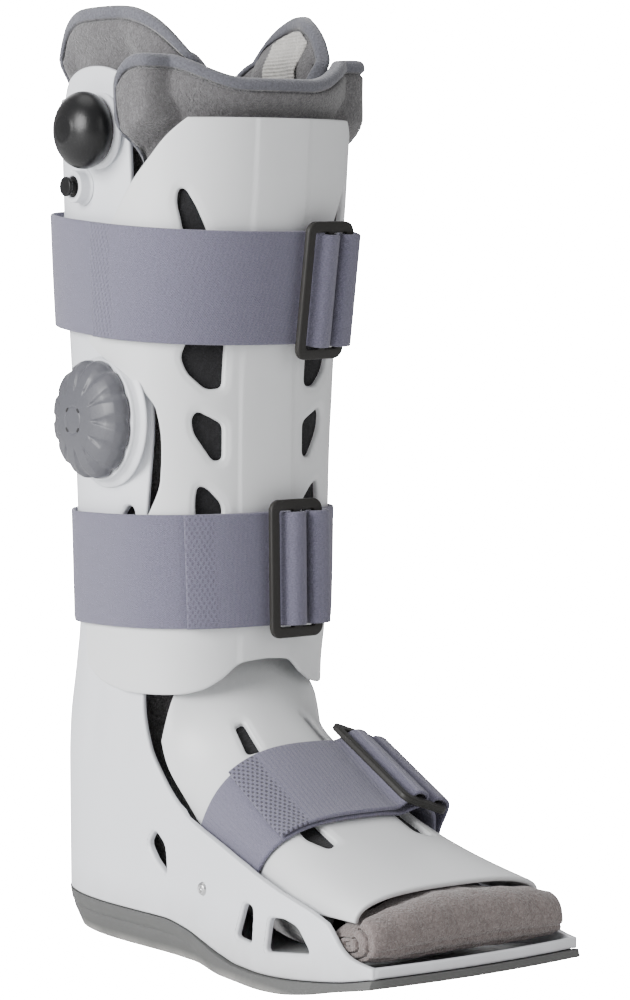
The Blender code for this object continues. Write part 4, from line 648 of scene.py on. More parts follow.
shell_grid = shell_face()
shell_normal = grid_normals(shell_grid)
flat = np.stack([-shell_grid[..., 1], shell_grid[..., 2]], -1).reshape(-1, 2)
sunk = np.zeros(shell_grid.shape[:2])
for corners in SIDE_VENTS.values():
    distance = outline_distance(flat, rounded(corners)).reshape(sunk.shape)
    sunk = np.maximum(sunk, 1.0 - smooth_step(0.0006, 0.0030, distance))
on_side = smooth_step(0.020, 0.030, np.abs(shell_grid[..., 0]))
creases = 0.0005 * np.sin((shell_grid[..., 1] + 0.25 * shell_grid[..., 2]) / 0.0042) * (
    smooth_step(0.055, 0.085, shell_grid[..., 2]) * (1.0 - smooth_step(0.115, 0.150, shell_grid[..., 2]))
    * smooth_step(-0.035, -0.015, shell_grid[..., 1]) * (1.0 - smooth_step(0.020, 0.045, shell_grid[..., 1])))
shell_grid = shell_grid + shell_normal * ((creases - 0.0006 * sunk) * on_side)[..., None]
shell = make_wall("shell_moulding", shell_grid, SHELL_WALL, 0.0010, SHELL_WHITE, normal=shell_normal)


def side_plug(corners, side_sign):
    """A vent cutter through the side wall: its outline at the wall's half width plus each ring's rise."""
    rings = []
    for rise, growth in RIM_PROFILE:
        outline = grown(rounded(corners), growth)
        half = shell_half_width(outline[:, 0], outline[:, 1]) - 0.0006 + rise
        rings.append(np.stack([side_sign * half, -outline[:, 0], outline[:, 1]], -1))
    return plug(np.stack(rings))


cut_openings(shell, [side_plug(corners, sign) for sign in (-1, 1) for corners in SIDE_VENTS.values()])
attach(shell, "boot")
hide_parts("rear_shell")

heel_half, _, heel_back = leg_size(HEEL_SOLE, SHELL_INSET)
heel_arc = np.linspace(math.pi, math.pi / 2, 25)
forward = np.linspace(0.0, TOE_REACH, 60)[1:]
floor_line = np.concatenate([
    np.stack([(heel_half - TRAY_GAP) * np.sin(heel_arc)**0.8, -(heel_back - TRAY_GAP) * np.cos(heel_arc)], -1),
    np.stack([shell_half_width(forward, HEEL_SOLE) - TRAY_GAP, -forward], -1)])
floor_grid = across_plate(np.concatenate([floor_line, sole_top(-floor_line[:, 1:]) + 0.0001], -1), 25,
                          lambda share, y: 0.0 * share * y)
tray = make_wall("shell_tray", floor_grid + (0.0, 0.0, SHELL_WALL), SHELL_WALL, 0.0004, SHELL_WHITE,
                 normal=np.broadcast_to(np.array([0.0, 0.0, 1.0]), floor_grid.shape))
toe_half = float(shell_half_width(TOE_REACH, HEEL_SOLE))
toe_x = toe_half * np.linspace(-1.0, 1.0, 61)
toe_y = -(TOE_REACH + TOE_BOW * (1.0 - (toe_x / toe_half) ** 2))
toe_rise = LIP_HEIGHT * edge_shares(LIP_HEIGHT, 0.0011, 4)
toe_grid = np.stack([np.broadcast_to(toe_x, (len(toe_rise), 61)), np.broadcast_to(toe_y, (len(toe_rise), 61)),
                     sole_top(-toe_y)[None] + toe_rise[:, None]], -1)
toe_lip = make_wall("shell_toe_lip", toe_grid, SHELL_WALL, 0.0010, SHELL_WHITE,
                    normal=unit(np.stack([0.0 * toe_grid[..., 0], 0.0 * toe_grid[..., 0] - 1.0,
                                          0.0 * toe_grid[..., 0]], -1)))
for piece in (tray, toe_lip):
    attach(piece, "boot")

# Liner: a grey loop-plush sleeve over thin foam, sewn shut under the foot and open at the top and toes.
# Two wings stand above the shell, and a rolled bluish binding with a stitched groove runs along its top edge.
CALF_HEIGHTS = (0.0, 0.18, 0.38, 0.58, 0.76, 0.85, 0.93, 1.0)
SHIN_PANEL_TOP = 0.3620
FLAP_BOTTOM = 0.1500
FLAP_WALL = 0.0060
PAD_WALL = 0.0025
LINER_GAP = 0.0022
LINER_WALL = 0.0050
FLAP_INSET = SHELL_INSET + SHELL_WALL + PANEL_GAP
LINER_BACK_INSET = SHELL_INSET + SHELL_WALL + LINER_GAP
LINER_FRONT_INSET = FLAP_INSET + FLAP_WALL + LINER_GAP
LINER_BACK_TOP = 0.3760
WING_RISE = 0.0350
WING_FLARE = 0.0068
WING_SOFTENING = (-7, -4, -2, 0, 2, 4, 7)
ANKLE_TUCK = 0.0120
LINER_TOE = 0.1480
HEEL_ROUNDNESS = 2.2
INSTEP_REACH = 0.1750
INSTEP_TOP = 0.1320
INSTEP_ROUNDNESS = 2.8
INSTEP_SHOULDER = 0.0036
INSTEP_HALF_WIDTH = 0.0420
ANKLE_ROUNDNESS = 2.3
STRAP_ROOM = 0.0040
RIM_WIDTH = 0.0056
SEAM_SHIFT = 0.0004
SEAM_HALF_WIDTH = 0.0008

InstepRow = namedtuple("InstepRow", "along crown_forward crown_height edge_forward edge_height")
INSTEP_ROWS = (
    InstepRow(0.00, 0.145, 0.990, 0.146, 0.700),
    InstepRow(0.10, 0.212, 0.890, 0.174, 0.600),
    InstepRow(0.22, 0.300, 0.785, 0.242, 0.495),
    InstepRow(0.35, 0.400, 0.690, 0.331, 0.415),
    InstepRow(0.48, 0.515, 0.595, 0.440, 0.358),
    InstepRow(0.61, 0.640, 0.502, 0.577, 0.310),
    InstepRow(0.74, 0.765, 0.440, 0.720, 0.282),
    InstepRow(0.87, 0.885, 0.398, 0.863, 0.270),
    InstepRow(1.00, 1.000, 0.365, 0.983, 0.270),
)
LinerRow = namedtuple("LinerRow", "along far heel_share")
LINER_ROWS = (
    LinerRow(0.840, 0.000, 0.0),
    LinerRow(0.740, 0.050, 0.0),
    LinerRow(0.610, 0.145, 0.0),
    LinerRow(0.480, 0.250, 0.1),
    LinerRow(0.360, 0.365, 0.3),
    LinerRow(0.250, 0.490, 0.7),
    LinerRow(0.150, 0.650, 1.0),
    LinerRow(0.090, 0.755, 1.0),
    LinerRow(0.045, 0.850, 1.0),
    LinerRow(0.005, 0.940, 1.0),
)
WingRow = namedtuple("WingRow", "turn rise")
WING_ROWS = (
    WingRow(-180, 0.00),
    WingRow(-135, 0.00),
    WingRow(-121, 0.10),
    WingRow(-111, 0.60),
    WingRow(-102, 0.93),
    WingRow(-84, 1.00),
    WingRow(-64, 0.85),
    WingRow(-48, 0.58),
    WingRow(-36, 0.32),
    WingRow(-18, 0.00),
    WingRow(40, 0.00),
    WingRow(55, 0.12),
    WingRow(65, 0.52),
    WingRow(74, 0.75),
    WingRow(89, 1.00),
    WingRow(101, 0.88),
    WingRow(111, 0.62),
    WingRow(119, 0.32),
    WingRow(132, 0.00),
    WingRow(180, 0.00),
)


def leg_point(turn, height, offset=0.0):
    """A point of the leg's surface, a superellipse ring: turn 0 is the front centre, a quarter turn the far side."""
    turn, height, offset = np.broadcast_arrays(turn, height, offset)
    half, front, back = leg_size(height)
    deep = np.where(np.cos(turn) > 0, front, back)
    x = half * signed_power(np.sin(turn), 2.0 / LEG_ROUNDNESS)
    y = -deep * signed_power(np.cos(turn), 2.0 / LEG_ROUNDNESS)
    lean_x = signed_power(x / half, LEG_ROUNDNESS - 1.0) / half
    lean_y = signed_power(y / deep, LEG_ROUNDNESS - 1.0) / deep
    length = np.hypot(lean_x, lean_y)
    return np.stack([x + offset * lean_x / length, y + offset * lean_y / length, height], -1)


def turn_at(forward, height):
    """The far side's turn at which the leg's surface is this far forward."""
    _, front, back = leg_size(height)
    reach = np.clip(np.abs(forward) / np.where(forward > 0, front, back), 0.0, 1.0)
    turn = np.arccos(reach ** (LEG_ROUNDNESS / 2.0))
    return np.where(forward > 0, turn, math.pi - turn)


def instep_column(share, column, size):
    return size * along(INSTEP_ROWS, "along", column, share)


def instep_half_width(share):
    """Half width of the instep panel, which leaves room for the strap beside it inside the shell's walls."""
    forward = instep_column(share, "edge_forward", INSTEP_REACH)
    height = instep_column(share, "edge_height", INSTEP_TOP)
    inside = shell_half_width(forward, height) - SHELL_WALL - STRAP_ROOM
    return INSTEP_HALF_WIDTH + (inside - INSTEP_HALF_WIDTH) * smooth_step(0.02, 0.30, share)


def instep_arch(turn, share):
    """The instep's arch: a superellipse from edge to crown, whose corners lean back at the ankle."""
    crown_y = -instep_column(share, "crown_forward", INSTEP_REACH)
    crown_z = instep_column(share, "crown_height", INSTEP_TOP)
    edge_y = -instep_column(share, "edge_forward", INSTEP_REACH)
    edge_z = instep_column(share, "edge_height", INSTEP_TOP)
    power = 2.0 / (ANKLE_ROUNDNESS + (INSTEP_ROUNDNESS - ANKLE_ROUNDNESS) * smooth_step(0.1, 0.5, share))
    rise = np.abs(np.cos(turn)) ** power
    shoulder = INSTEP_SHOULDER * np.clip(1.0 - share * 4.0, 0.0, 1.0) ** 2 * 4.0 * rise * (1.0 - rise)
    x = instep_half_width(share) * signed_power(np.sin(turn), power)
    y = edge_y + (crown_y - edge_y) * rise - shoulder
    return np.stack([x, y, edge_z + (crown_z - edge_z) * rise], -1)


def instep_point(turn, share, offset=0.0):
    """A point of the instep panel, moved out along the cross product of the arch's two directions."""
    turn, share, offset = np.broadcast_arrays(turn, share, offset)
    step = 1e-4
    inside = np.clip(turn, -math.pi / 2 + step, math.pi / 2 - step)
    across = instep_arch(inside + step, share) - instep_arch(inside - step, share)
    forward = instep_arch(inside, np.clip(share + step, 0, 1)) - instep_arch(inside, np.clip(share - step, 0, 1))
    return instep_arch(turn, share) + offset[..., None] * unit(np.cross(forward, across))


def sole_profile():
    """The liner's outer line in the centre plane: along the floor, round the heel and up the back."""
    inset = SHELL_INSET + SHELL_WALL + LINER_GAP
    round_heel = 0.020
    back = leg_size(HEEL_SOLE + SHELL_WALL + round_heel, inset)[2]
    floor_y = np.linspace(-LINER_TOE, back - round_heel, 24)
    floor_z = sole_top(-floor_y) + SHELL_WALL + LINER_GAP * 0.7
    arc = np.linspace(0.0, math.pi / 2, 7)[1:-1]
    arc_y = back - round_heel + round_heel * np.sin(arc)
    arc_z = floor_z[-1] + round_heel * (1.0 - np.cos(arc))
    up_z = np.linspace(floor_z[-1] + round_heel, FLAP_BOTTOM - 0.010, 8)
    up_y = leg_size(up_z, inset)[2]
    points = np.stack([np.concatenate([floor_y, arc_y, up_y]), np.concatenate([floor_z, arc_z, up_z])], -1)
    lengths = np.concatenate([[0.0], np.cumsum(np.linalg.norm(np.diff(points, axis=0), axis=1))])
    return points, lengths / lengths[-1]


def liner_ring(row, turns):
    """One section of the liner between the instep and the sole or heel."""
    profile, lengths = sole_profile()
    far = np.array([np.interp(row.far, lengths, profile[:, i]) for i in (0, 1)])
    near = instep_point(0.0, row.along, -PANEL_WALL - PAD_WALL - PANEL_GAP - LINER_GAP)[1:]
    slim = float(instep_half_width(row.along)) - PANEL_WALL - LINER_GAP
    wide = leg_size(HEEL_SOLE, SHELL_INSET)[0] - SHELL_WALL - LINER_GAP
    across = signed_power(np.sin(turns), 2.0 / HEEL_ROUNDNESS)
    down = 0.5 - 0.5 * signed_power(np.cos(turns), 2.0 / HEEL_ROUNDNESS)
    half = slim + (wide - slim) * row.heel_share * smooth_step(0.45, 0.80, down)
    y = near[0] + (far[0] - near[0]) * down
    z = near[1] + (far[1] - near[1]) * down
    return np.stack([half * across, y, z], -1)


def liner_leg_rows(turns, shares):
    """Leg part of the liner: inside the leg's surface, tucked in at the ankle and leaning out above the shell."""
    rise = np.mean([along(WING_ROWS, "turn", "rise", np.degrees(turns) + step) for step in WING_SOFTENING], axis=0)
    top = LINER_BACK_TOP + WING_RISE * rise
    height = FLAP_BOTTOM + (top[None, :] - FLAP_BOTTOM) * shares[:, None]
    turn = np.broadcast_to(turns, height.shape)
    edge = turn_at(shell_edge(height), height)
    behind = smooth_step(edge + math.radians(6), edge + math.radians(22), np.abs(turn))
    tuck = ANKLE_TUCK * (1.0 - smooth_step(FLAP_BOTTOM, FLAP_BOTTOM + 0.045, height)) * (1.0 - behind)
    inset = LINER_FRONT_INSET + (LINER_BACK_INSET - LINER_FRONT_INSET) * behind + tuck
    above = height - shell_top(leg_point(turn, LEG_TOP)[..., 1])
    return leg_point(turn, height, WING_FLARE * smooth_step(0.003, 0.018, above) - inset)


def smooth_through(points, places):
    """Rows of points on a curve through the given rows, cubic with the chords' mean slopes, at places from 0 to 1."""
    chord = np.linalg.norm(np.diff(points, axis=0), axis=-1).mean(axis=1)
    at = np.concatenate([[0.0], np.cumsum(chord)])
    slope = np.gradient(points, at, axis=0)
    want = np.asarray(places) * at[-1]
    low = np.clip(np.searchsorted(at, want, side="right") - 1, 0, len(at) - 2)
    span = (at[low + 1] - at[low])[:, None, None]
    t = ((want - at[low]) / (at[low + 1] - at[low]))[:, None, None]
    start = (2 * t**3 - 3 * t**2 + 1) * points[low] + (t**3 - 2 * t**2 + t) * span * slope[low]
    return start + (3 * t**2 - 2 * t**3) * points[low + 1] + (t**3 - t**2) * span * slope[low + 1]


def soft_lumps(points, size, height):
    """Slow unevenness of padded cloth: a product of three sines of the place."""
    x, y, z = np.moveaxis(points / size, -1, 0)
    return height * np.sin(1.7 * x + 0.6 * z) * np.sin(1.3 * y + 0.9 * x + 0.4) * np.sin(1.1 * z - 0.7 * y + 1.1)


def pile_group():
    """Loop pile: rounded cells for the loops' height, and their height times noise for painted shade and highlight.
    """
    group, given, result = new_group(
        "loop_pile",
        [("Vector", "NodeSocketVector", None), ("Loops", "NodeSocketFloat", 1100.0),
         ("Tufts", "NodeSocketFloat", 420.0)],
        [("Height", "NodeSocketFloat"), ("Shade", "NodeSocketFloat")])
    stray = node(group, "ShaderNodeTexNoise",
                 {"Vector": given.outputs["Vector"], "Scale": given.outputs["Tufts"], "Detail": 4.0})
    bent = node(group, "ShaderNodeVectorMath", {0: stray.outputs["Color"], "Scale": 0.004}, operation="SCALE")
    moved = node(group, "ShaderNodeVectorMath", {0: given.outputs["Vector"], 1: bent.outputs[0]}, operation="ADD")
    loops = node(group, "ShaderNodeTexVoronoi",
                 {"Vector": moved.outputs[0], "Scale": given.outputs["Loops"]}, feature="SMOOTH_F1")
    lifted = node(group, "ShaderNodeMath", {0: 1.0, 1: loops.outputs["Distance"]}, operation="SUBTRACT")
    shade = node(group, "ShaderNodeMath", {0: lifted.outputs[0], 1: stray.outputs["Fac"]}, operation="MULTIPLY")
    group.links.new(lifted.outputs[0], result.inputs["Height"])
    group.links.new(shade.outputs[0], result.inputs["Shade"])
    return group


PILE = pile_group()


def pile_material(name, root_shade_colour, crown_light_colour, rim_colour=None, bump=0.9, sheen=0.35):
    """Plush with painted shade in the loops' roots. With a rim colour, the mark rim gives the distance from the edge.
    """
    material, tree, shader = blank_material(name)
    place = node(tree, "ShaderNodeTexCoord").outputs["Object"]
    pile = node(tree, "ShaderNodeGroup", node_tree=PILE)
    tree.links.new(place, pile.inputs["Vector"])
    # Painted shade and highlight: colour runs from dark at the loop roots to light on the loop crowns and tufts.
    spread = node(tree, "ShaderNodeMapRange", {"Value": pile.outputs["Shade"], "From Min": 0.08, "From Max": 0.56})
    colour = mix_colour(tree, spread.outputs["Result"], root_shade_colour, crown_light_colour)
    height = pile.outputs["Height"]
    if rim_colour:
        distance = node(tree, "ShaderNodeAttribute", attribute_name="rim").outputs["Fac"]
        binding = node(tree, "ShaderNodeMapRange", {"Value": distance, "From Min": RIM_WIDTH - 0.0003,
                                                    "From Max": RIM_WIDTH + 0.0002, "To Min": 1.0, "To Max": 0.0})
        offset = node(tree, "ShaderNodeMath", {0: distance, 1: RIM_WIDTH + SEAM_SHIFT}, operation="SUBTRACT")
        away = node(tree, "ShaderNodeMath", {0: offset.outputs[0]}, operation="ABSOLUTE")
        groove = node(tree, "ShaderNodeMapRange", {"Value": away.outputs[0], "From Max": SEAM_HALF_WIDTH,
                                                   "To Min": 1.0, "To Max": 0.0})
        stitches = node(tree, "ShaderNodeTexNoise", {"Vector": place, "Scale": 330.0, "Detail": 2.0})
        stitched = node(tree, "ShaderNodeMapRange", {"Value": stitches.outputs["Fac"], "From Min": 0.35,
                                                     "From Max": 0.6, "To Min": 0.35})
        seam = node(tree, "ShaderNodeMath", {0: groove.outputs["Result"], 1: stitched.outputs["Result"]},
                    operation="MULTIPLY")
        cloth = node(tree, "ShaderNodeTexNoise", {"Vector": place, "Scale": 1100.0, "Detail": 4.0})
        fuzz = node(tree, "ShaderNodeMapRange", {"Value": cloth.outputs["Fac"], "From Min": 0.3, "From Max": 0.7})
        bound = mix_colour(tree, fuzz.outputs["Result"], rim_colour, tuple(c * 0.66 for c in rim_colour))
        colour = mix_colour(tree, binding.outputs["Result"], colour, bound)
        colour = mix_colour(tree, seam.outputs[0], colour, tuple(c * 0.22 for c in rim_colour))
        level = node(tree, "ShaderNodeMix", {0: binding.outputs["Result"], 2: height, 3: cloth.outputs["Fac"]},
                     data_type="FLOAT")
        sunk = node(tree, "ShaderNodeMath", {0: groove.outputs["Result"], 1: -1.4, 2: level.outputs[0]},
                    operation="MULTIPLY_ADD")
        height = sunk.outputs[0]
    tree.links.new(colour, shader.inputs["Base Color"])
    shader.inputs["Roughness"].default_value = 0.95
    shader.inputs["Sheen Weight"].default_value = sheen
    shader.inputs["Sheen Roughness"].default_value = 0.5
    raised = node(tree, "ShaderNodeBump", {"Height": height, "Strength": bump, "Distance": 0.0006})
    tree.links.new(raised.outputs["Normal"], shader.inputs["Normal"])
    return material


PLUSH = pile_material("grey_plush", (0.088, 0.085, 0.087), (0.150, 0.146, 0.151), (0.128, 0.130, 0.153))


def bound_rim(distance):
    """Swell of a rolled binding and the stitched groove behind it, by distance from the edge."""
    return (0.0007 * (1.0 - smooth_step(RIM_WIDTH - 0.0010, RIM_WIDTH, distance))
            - 0.0014 * np.exp(-((distance - RIM_WIDTH - 0.0006) / 0.00065) ** 2))


liner_turns = np.linspace(-math.pi, math.pi, 181)[:-1]
liner_rings = np.concatenate([np.stack([liner_ring(row, liner_turns) for row in LINER_ROWS]),
                              liner_leg_rows(liner_turns, np.array(CALF_HEIGHTS))])
foot_places = np.linspace(0.0, 1.0, 70)
ring_at = np.linalg.norm(np.diff(liner_rings, axis=0), axis=-1).mean(axis=1)
foot_share = ring_at[:len(LINER_ROWS)].sum() / ring_at.sum()
top_shares = np.concatenate([np.linspace(0.0, 0.90, 60)[1:], 0.90 + 0.10 * edge_shares(0.026, 0.0024, 26)[5:]])
liner_grid = np.concatenate([smooth_through(liner_rings, foot_places * foot_share),
                             liner_leg_rows(liner_turns, top_shares)])
to_rim = grid_lengths(liner_grid, 0)
to_rim = to_rim[-1:] - to_rim
puff = soft_lumps(liner_grid, 0.017, 0.0005) * smooth_step(0.004, 0.02, to_rim)
liner = make_wall("plush_liner", liner_grid, LINER_WALL, 0.0024, PLUSH, wrap=True, swell=bound_rim(to_rim) + puff,
                  marks={"rim": to_rim}, sharp=70.0)
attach(liner, "boot")
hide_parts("liner")

# Hook patch: light ribbed hook tape sewn inside the far wing, where the flap is pressed down on it.
# Its ribs run along the wing, and the wing's own binding frames it.
LINER_COLUMNS = 28
PATCH_COLUMNS = (6.0, 7.0, 8.0)
PATCH_RISE = 0.0040
PATCH_RIM = 0.0070
PATCH_WALL = 0.0012
RIB_STEP = 0.0016
patch_turns = np.linspace(PATCH_COLUMNS[0], PATCH_COLUMNS[-1], 60) * 2.0 * math.pi / LINER_COLUMNS
patch_full = liner_leg_rows(patch_turns, np.linspace(0.8, 1.0, 120))
patch_top = patch_full[-1, :, 2] - PATCH_RIM
patch_low = LINER_BACK_TOP + PATCH_RISE
patch_share = np.linspace(0.0, 1.0, 130)[:, None]
patch_height = patch_low + (patch_top - patch_low) * patch_share
patch_index = np.clip((patch_full[None, :, :, 2] < patch_height[:, None, :]).sum(1), 1, 119)
columns = np.arange(len(patch_turns))[None]
below, over = patch_full[patch_index - 1, columns], patch_full[patch_index, columns]
part = (patch_height - below[..., 2]) / np.maximum(over[..., 2] - below[..., 2], 1e-9)
patch_out = unit(leg_point(patch_turns, 0.38, 1.0) - leg_point(patch_turns, 0.38))
patch_grid = below + (over - below) * part[..., None] - patch_out[None] * (LINER_WALL + 0.0016)
ribbing = 0.00030 * np.cos(2.0 * math.pi * patch_height / RIB_STEP)
PATCH_CLOTH = pile_material("hook_tape", (0.36, 0.35, 0.33), (0.66, 0.64, 0.61), bump=0.5)
patch = make_wall("hook_tape", patch_grid, PATCH_WALL, 0.0005, PATCH_CLOTH, swell=ribbing)
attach(patch, "boot")
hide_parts("hook_patch")

# Front flap: the liner's plush tongue, which lies inside the shin panel, stands above it and flares over the shell.
# It has the same rolled binding round its top and sides.
SOFT_LOW = 0.1500
SOFT_HIGH = 0.3290
EDGE_ROOM = 0.0055
FLAP_TOP = 0.3790
FLAP_CORNER_RISE = 0.0100
FLAP_FLARE = 0.0135
FLAP_CORNER = 0.0150
PanelRow = namedtuple("PanelRow", "height forward")
PANEL_EDGE = (
    PanelRow(0.338, -0.355),
    PanelRow(0.387, -0.347),
    PanelRow(0.420, -0.280),
    PanelRow(0.456, 0.000),
    PanelRow(0.497, 0.290),
    PanelRow(0.530, 0.430),
    PanelRow(0.571, 0.512),
    PanelRow(0.619, 0.526),
    PanelRow(0.655, 0.504),
    PanelRow(0.677, 0.420),
    PanelRow(0.700, 0.240),
    PanelRow(0.739, -0.130),
    PanelRow(0.775, -0.150),
    PanelRow(0.820, -0.050),
    PanelRow(0.877, 0.206),
    PanelRow(0.928, 0.433),
    PanelRow(0.955, 0.570),
    PanelRow(0.978, 0.678),
    PanelRow(1.000, 0.800),
)


def panel_edge(height):
    """How far forward the shin panel's side edge lies at a height."""
    return CALF_FRONT * along(PANEL_EDGE, "height", "forward", height / SHIN_PANEL_TOP)


flap_sides = 2.0 * edge_shares(0.10, 0.0029, 121) - 1.0
past_corner = np.clip((np.abs(flap_sides) - 0.84) / 0.16, 0.0, 0.985)
flap_top = (FLAP_TOP + FLAP_CORNER_RISE * smooth_step(0.15, 0.74, np.abs(flap_sides))
            - FLAP_CORNER * (1.0 - np.sqrt(1.0 - past_corner**2)))
flap_share = edge_shares(0.23, 0.0029, 150)
flap_height = SOFT_LOW + (flap_top[None] - SOFT_LOW) * flap_share[:, None]
above = smooth_step(SHIN_PANEL_TOP - 0.032, SHIN_PANEL_TOP - 0.002, flap_height)
late = smooth_step(SHIN_PANEL_TOP - 0.012, SHIN_PANEL_TOP, flap_height)
flap_edge = shell_edge(flap_height) + EDGE_ROOM - (EDGE_ROOM - 0.0014) * late
flap_turn = flap_sides[None] * turn_at(flap_edge, flap_height)
panel_turn = turn_at(panel_edge(flap_height), flap_height)
beyond = smooth_step(panel_turn + math.radians(3), panel_turn + math.radians(19), np.abs(flap_turn))
over_top = smooth_step(SHIN_PANEL_TOP, SHIN_PANEL_TOP + 0.012, flap_height)
flap_flare = FLAP_FLARE * np.maximum(above * beyond, over_top * 0.35)
flap_grid = leg_point(flap_turn, flap_height, flap_flare - FLAP_INSET)
to_top = grid_lengths(flap_grid, 0)
to_top = to_top[-1:] - to_top
to_side = grid_lengths(flap_grid, 1)
to_side = np.minimum(to_side, to_side[:, -1:] - to_side)
to_rim = np.minimum(to_top, to_side)
flap_puff = soft_lumps(flap_grid, 0.014, 0.0005) * smooth_step(0.004, 0.02, to_rim) * over_top
flap = make_wall("plush_flap", flap_grid, FLAP_WALL, 0.0029, PLUSH, swell=bound_rim(to_rim) * 0.9 + flap_puff,
                 marks={"rim": to_rim}, sharp=70.0)
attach(flap, "boot")
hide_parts("front_flap")

# Black pads: cloth-backed foam glued inside the two panels, seen through their vents and at the ankle.
PAD_CLOTH = pile_material("black_knit", (0.003, 0.003, 0.0035), (0.011, 0.011, 0.013), bump=0.5, sheen=0.05)
pad_height = SOFT_LOW + (SOFT_HIGH + 0.007 - SOFT_LOW) * edge_shares(0.186, 0.0012, 60)
pad_room = EDGE_ROOM * (1.0 + 3.0 * smooth_step(0.2950, SOFT_HIGH, pad_height))
pad_forward = np.maximum(shell_edge(pad_height), panel_edge(pad_height)) + pad_room
pad_turn = (2.0 * edge_shares(0.09, 0.0012, 50) - 1.0)[None] * turn_at(pad_forward, pad_height)[:, None]
shin_pad = make_wall("shin_pad_cloth", leg_point(pad_turn, pad_height[:, None], -SHELL_INSET), PAD_WALL, 0.0012,
                     PAD_CLOTH)
pad_turn = (2.0 * edge_shares(0.08, 0.0012, 60) - 1.0)[None] * math.radians(60)
pad_share = (0.1 + 0.7 * edge_shares(0.12, 0.0012, 60))[:, None]
instep_pad = make_wall("instep_pad_cloth", instep_point(pad_turn, pad_share, -PANEL_WALL - PANEL_GAP), PAD_WALL,
                       0.0012, PAD_CLOTH)
for piece, replaced in ((shin_pad, "shin_pad"), (instep_pad, "instep_pad")):
    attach(piece, "boot")
    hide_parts(replaced)

# Toe roll: a strip of the same plush rolled up and sewn across, which closes the toes under the instep panel.
# Its ends show the roll's spiral, and a seam runs along its foot.
ROLL_FRONT = 0.1885
ROLL_BACK = 0.1570
ROLL_HALF_LENGTH = 0.0500
ROLL_TURNS = 2.6
ROLL_PLUSH = pile_material("roll_plush", (0.125, 0.100, 0.094), (0.225, 0.190, 0.182), bump=1.0)
around = np.linspace(0.0, 2.0 * math.pi, 97)[:-1]


def roll_rings(x, shrink):
    """Sections of the roll: superellipses under the panel's end and over the floor, drawn in to the ends."""
    slim = 0.84 + 0.16 * np.sqrt(np.maximum(1.0 - np.abs(x / ROLL_HALF_LENGTH) ** 14, 0.0))
    under = np.abs(x) / ROLL_HALF_LENGTH
    crown = instep_column(1.0, "crown_height", INSTEP_TOP)
    edge = instep_column(1.0, "edge_height", INSTEP_TOP)
    roof = crown + (edge - crown) * under**2.2 - PANEL_WALL - 0.0006
    open_roof = crown + (edge - crown) * 0.45 * under**2.2 - PANEL_WALL
    low = float(sole_top(TOE_REACH)) + SHELL_WALL + 0.0006
    y = (-(ROLL_FRONT + ROLL_BACK) / 2 + ((ROLL_FRONT - ROLL_BACK) / 2 * slim * shrink)[:, None]
         * signed_power(np.cos(around), 0.75))
    outside = smooth_step(INSTEP_REACH + 0.0004, INSTEP_REACH + 0.0050, -y)
    top = roof[:, None] + (open_roof - roof)[:, None] * outside
    z = (top + low) / 2 + (top - low) / 2 * (slim * shrink)[:, None] * signed_power(np.sin(around), 0.75)
    return np.stack([np.broadcast_to(x[:, None], y.shape), y, z], -1)


roll_x = ROLL_HALF_LENGTH * np.sin(np.linspace(-math.pi / 2, math.pi / 2, 91))
roll_body = roll_rings(roll_x, np.ones_like(roll_x))
roll_normal = grid_normals(roll_body, wrap=True)
seam = (-0.0012 * np.exp(-((around + 2.3 - 2.0 * math.pi) / 0.10) ** 2)
        - 0.0009 * np.exp(-((around - 3.5) / 0.08) ** 2))
roll_body = roll_body + roll_normal * (seam[None] + soft_lumps(roll_body, 0.006, 0.0005))[..., None]
caps = []
for end in (0, -1):
    radius = np.linspace(1.0, 0.0, 61)[1:]
    middle = roll_body[end].mean(0)
    cap = middle + (roll_body[end] - middle)[None] * radius[:, None, None]
    spiral = np.abs((radius[:, None] * ROLL_TURNS - around[None] / (2.0 * math.pi)) % 1.0 - 0.5)
    furrow = np.exp(-(spiral / 0.11) ** 2) * smooth_step(0.0, 0.15, radius[:, None])
    bulge = 0.0022 * (1.0 - radius[:, None] ** 2) - 0.0020 * furrow
    cap[..., 0] += (-1.0 if end == 0 else 1.0) * bulge * (1.0 - radius[:, None] ** 8)
    caps.append(cap)
roll_grid = np.concatenate([caps[0][::-1], roll_body, caps[1]])
roll = make_piece("plush_toe_roll", roll_grid.reshape(-1, 3), grid_quads(*roll_grid.shape[:2], wrap=True),
                  ROLL_PLUSH, weld=True, sharp=80.0)
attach(roll, "boot")
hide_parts("toe_roll")

